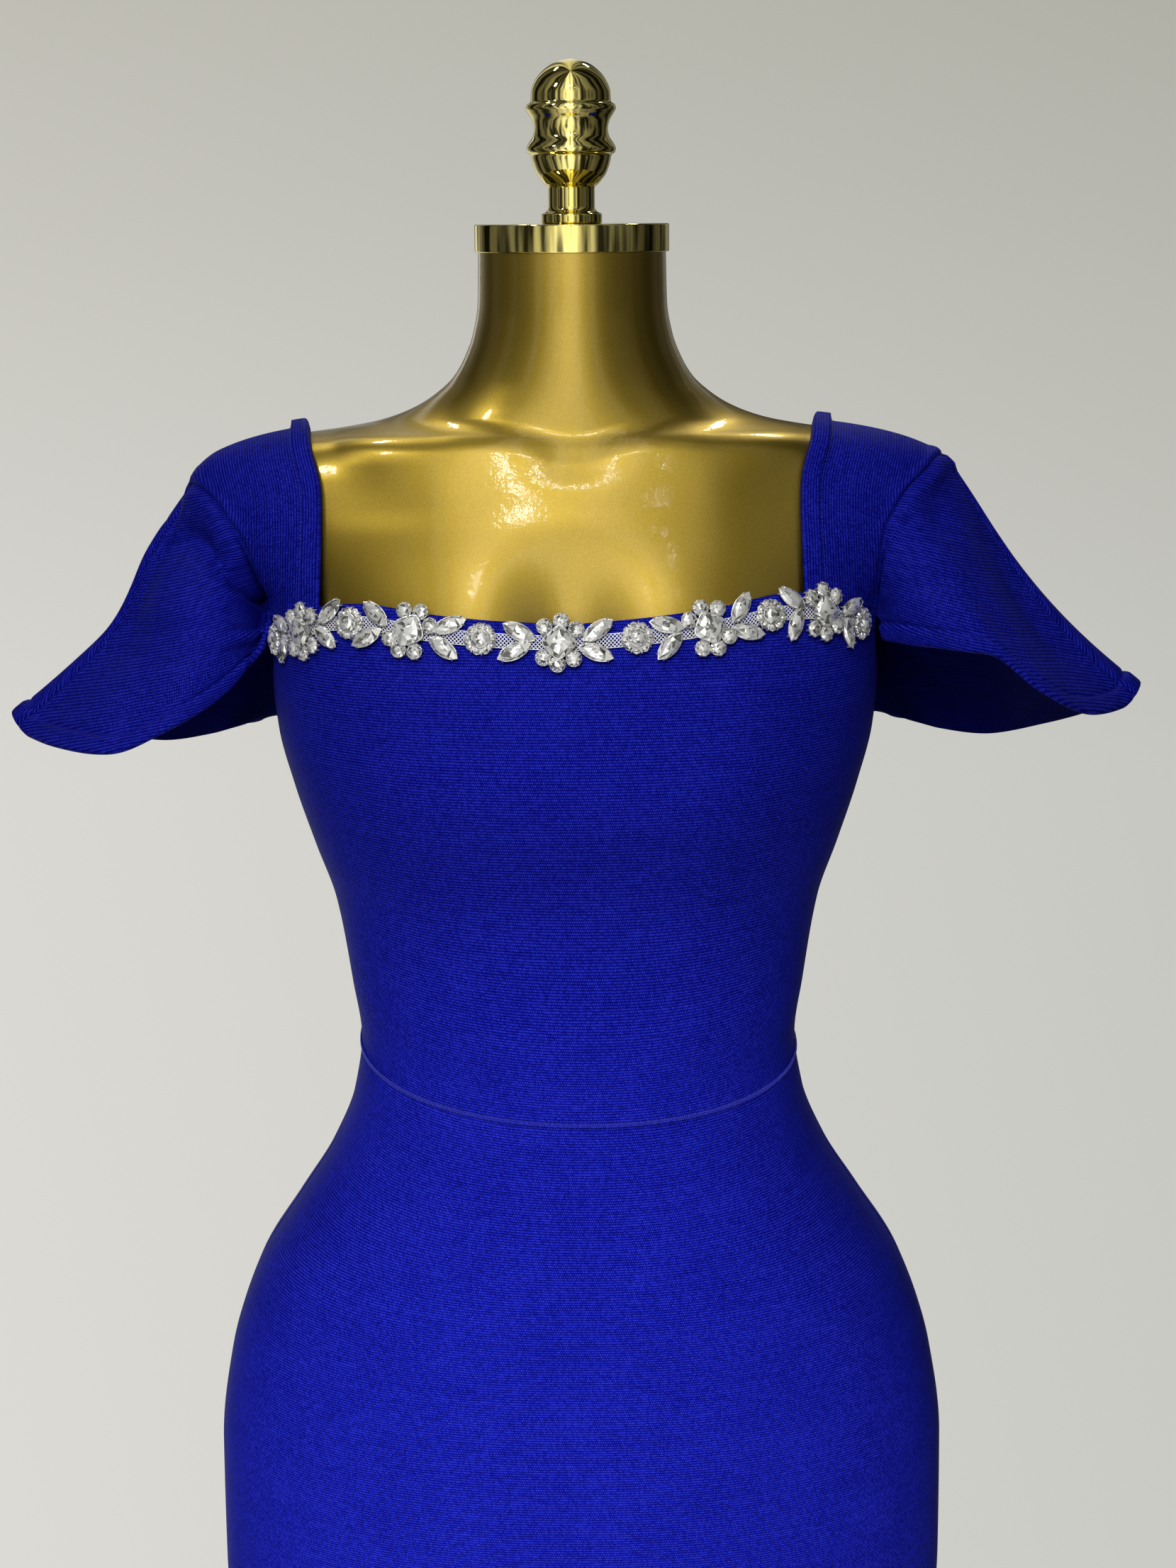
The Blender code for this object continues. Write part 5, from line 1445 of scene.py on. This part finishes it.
FLOOR_RADIUS = 3.2
FLOOR_HEIGHT = -0.0002      # just clear of the stand's base


def studio_floor():
    """A pale floor that fades into the backdrop's colour."""
    angles = np.linspace(0, 2 * math.pi, 96, endpoint=False)
    rim = FLOOR_RADIUS * np.stack([np.cos(angles), np.sin(angles)], axis=-1)
    points = np.column_stack([rim, np.full(len(rim), FLOOR_HEIGHT)])
    mesh = new_mesh("floor", points, [np.arange(len(rim))[None, :]], smooth=False)
    material, tree, shader = shader_tree("pale_floor")
    place = object_place(tree)
    split = node_in(tree, "ShaderNodeSeparateXYZ", {"Vector": place}).outputs
    x_square, y_square = (math_of(tree, "MULTIPLY", split[axis], split[axis]) for axis in "XY")
    radius = math_of(tree, "SQRT", math_of(tree, "ADD", x_square, y_square))
    fade = node_in(tree, "ShaderNodeMapRange", interpolation_type="SMOOTHSTEP")
    fill_inputs(fade, {"Value": radius, "From Min": 0.4, "From Max": 1.5, "To Min": 1.0, "To Max": 0.0})
    colour = ramp_of(tree, noise_of(tree, place, 4.0), (0.3, (0.60, 0.59, 0.57)), (0.7, (0.64, 0.63, 0.61)))
    set_shader(shader, Base_Color=colour, Alpha=fade.outputs["Result"], Roughness=0.9, Specular_IOR_Level=0.1,
               Emission_Color=(1, 0.98, 0.94, 1), Emission_Strength=0.26)
    floor = place_piece("floor", mesh, [material])


def studio_world():
    """Pale grey behind the dress. Only reflections see its upright bands of light and dark."""
    world = bpy.data.worlds.new("studio")
    bpy.context.scene.world = world
    world.use_nodes = True
    tree = world.node_tree
    calc = partial(math_of, tree)
    way = tree.nodes.new("ShaderNodeTexCoord").outputs["Generated"]
    split = node_in(tree, "ShaderNodeSeparateXYZ", {"Vector": way}).outputs
    right, behind, up = (calc("MULTIPLY_ADD", split[axis], 0.5, 0.5) for axis in "XYZ")
    seen = tree.nodes.new("ShaderNodeLightPath").outputs

    def light_of(colour):
        return node_in(tree, "ShaderNodeBackground", {"Color": colour}).outputs["Background"]

    def light_for(rays, theirs, others):
        inputs = {"Fac": seen[f"Is {rays} Ray"], 1: others, 2: theirs}
        return node_in(tree, "ShaderNodeMixShader", inputs).outputs["Shader"]

    # Seen by the camera, the backdrop is painted darker to the right and towards the top, as soft shade.
    side = ramp_of(tree, right, (0.38, (1.06, 1.06, 1.06)), (0.62, (0.86, 0.87, 0.86)))
    shade = ramp_of(tree, up, (0.27, (0.68, 0.67, 0.64)), (0.40, (0.66, 0.65, 0.62)),
                    (0.54, (0.50, 0.49, 0.44)))
    soft = ramp_of(tree, behind, (0.10, (0.06, 0.06, 0.056)), (0.50, (0.05, 0.05, 0.047)),
                   (0.90, (0.12, 0.12, 0.115)))
    from_front = calc("ARCTAN2", calc("ABSOLUTE", split["X"]), calc("MULTIPLY", split["Y"], -1.0))
    room = ramp_of(tree, calc("DIVIDE", from_front, math.pi),
                   (0.0, (1.20, 1.20, 1.17)), (0.11, (0.98, 0.98, 0.96)), (0.24, (0.38, 0.38, 0.36)),
                   (0.50, (0.08, 0.08, 0.075)), (0.72, (0.10, 0.10, 0.095)), (0.86, (0.55, 0.55, 0.52)))
    place = node_in(tree, "ShaderNodeCombineXYZ", {"X": calc("ARCTAN2", split["X"], split["Y"]),
                                                   "Y": calc("MULTIPLY", split["Z"], 0.15)}).outputs["Vector"]
    bands = node_in(tree, "ShaderNodeTexNoise", noise_dimensions="2D")
    fill_inputs(bands, {"Vector": place, "Scale": 3.4, "Detail": 2.5})
    stripes = ramp_of(tree, bands.outputs["Fac"], (0.40, (0.06, 0.06, 0.06)), (0.47, (0.35, 0.35, 0.34)),
                      (0.53, (0.90, 0.90, 0.88)), (0.60, (1.50, 1.49, 1.45)))
    dimmer = ramp_of(tree, right, (0.52, (1, 1, 1)), (0.72, (0.50, 0.50, 0.48)))
    mirrored = product_of(tree, product_of(tree, room, stripes), dimmer)

    unseen = light_for("Glossy", light_of(mirrored), light_of(soft))
    shown = light_for("Camera", light_of(product_of(tree, side, shade)), unseen)
    fill_inputs(tree.nodes["World Output"], {"Surface": shown})


def hang_light(name, data, location, target, mirrored=False):
    light = bpy.data.objects.new(name, data)
    light.location = location
    light.rotation_euler = (Vector(target) - Vector(location)).to_track_quat("-Z", "Y").to_euler()
    light.visible_glossy = mirrored
    bpy.context.scene.collection.objects.link(light)
    return light


def area_light(name, location, target, size, power, colour=(1, 1, 1), mirrored=False):
    data = bpy.data.lights.new(name, "AREA")
    data.shape = "RECTANGLE"
    data.size, data.size_y = size
    data.energy = power
    data.color = colour
    return hang_light(name, data, location, target, mirrored)


def spot_light(name, location, target, degrees, power):
    data = bpy.data.lights.new(name, "SPOT")
    data.energy = power
    data.spot_size = math.radians(degrees)
    data.spot_blend = 1.0
    data.shadow_soft_size = 0.2
    return hang_light(name, data, location, target)


# Small lamps that only the gloss shows: place, width and height
LAMPS = (
    (-0.24, -1.52, 2.56, 0.08, 0.11), (-0.08, -1.38, 2.72, 0.05, 0.09), (0.05, -1.36, 2.74, 0.05, 0.10),
    (-1.13, -0.86, 2.74, 0.13, 0.34), (-0.19, -1.58, 2.46, 0.04, 0.05), (0.36, -1.57, 2.46, 0.03, 0.03),
    (0.54, 1.19, 2.75, 0.20, 0.14), (-0.67, 0.69, 3.02, 0.26, 0.10),
)
LAMP_GLOW = 95
LAMP_COLOUR = (1.0, 0.985, 0.95)


def studio_lights():
    area_light("key", (-0.35, -2.4, 2.45), (0, 0, 1.10), (0.8, 0.8), power=23, colour=LAMP_COLOUR)
    area_light("overhead", (-0.6, -1.4, 3.2), (0, 0, 1.1), (1.4, 1.4), power=17, colour=LAMP_COLOUR)
    area_light("back_panel", (0.6, 2.8, 2.0), (0, 0, 1.0), (1.6, 1.6), power=46)
    spot_light("skirt_spot", (-0.45, -2.7, 0.85), (-0.02, 0, 0.74), degrees=22, power=305)
    spot_light("bodice_spot", (-0.10, -2.2, 2.55), (0.01, 0, 1.17), degrees=11, power=116)
    for number, (x, y, z, width, height) in enumerate(LAMPS, 1):
        lamp = area_light(f"lamp_{number}", (x, y, z), (0, 0, 1.3), (width, height), LAMP_GLOW * width * height,
                          mirrored=True)
        lamp.visible_diffuse = False


CAMERA_PLACE = (0.006, -1.35, 1.477)
CAMERA_LENS = 61.84
CAMERA_PITCH = 12           # degrees down
CAMERA_ROLL = 0.42          # degrees


def studio_camera():
    """Level with the neck, pitched down at the chest."""
    data = bpy.data.cameras.new("camera")
    data.lens = CAMERA_LENS
    data.sensor_width = 36
    camera = bpy.data.objects.new("camera", data)
    camera.location = CAMERA_PLACE
    pitch = math.radians(CAMERA_PITCH)
    ahead = Vector((0, math.cos(pitch), -math.sin(pitch)))
    camera.rotation_mode = "QUATERNION"
    camera.rotation_quaternion = Quaternion(ahead, math.radians(CAMERA_ROLL)) @ ahead.to_track_quat("-Z", "Y")
    bpy.context.scene.collection.objects.link(camera)
    bpy.context.scene.camera = camera


# ---------------------------------------------------------------- build

# Flat sizes of the cut pieces, width by length, and their share of that rectangle
CUTS = {
    "front_bodice": ((0.43, 0.26), 0.90),
    "back_bodice": ((0.42, 0.26), 0.90),
    "front_skirt": ((0.50, 0.57), 0.88),
    "back_skirt": ((0.52, 0.59), 0.88),
}
PAIRED_CUTS = {
    "strap": ((0.070, 0.20), 0.85),
    "sleeve_front": ((0.17, 0.15), 0.62),
    "sleeve_back": ((0.19, 0.15), 0.62),
}
CUTS |= {f"{word}_{part}": cut for part, cut in PAIRED_CUTS.items() for word in SIDE_WORDS.values()}


def declare_cloth(sewing, trim):
    for name, (flat, share) in CUTS.items():
        extras = list(sewing.get(name, []))
        if name == "front_bodice":
            extras += trim


def main():
    bpy.context.scene.view_settings.view_transform = "Standard"
    studio_camera()
    studio_world()
    studio_lights()
    studio_floor()
    build_form()
    panels = build_bodice_and_skirt()
    panels["left_strap"], panels["right_strap"] = strap(-1), strap(1)
    panels["left_sleeve_front"], panels["left_sleeve_back"] = sleeve(-1, LEFT_FOLDS)
    panels["right_sleeve_front"], panels["right_sleeve_back"] = sleeve(1, RIGHT_FOLDS)
    sewing = build_sewing()
    trim = build_trim()
    declare_cloth(sewing, trim)


main()
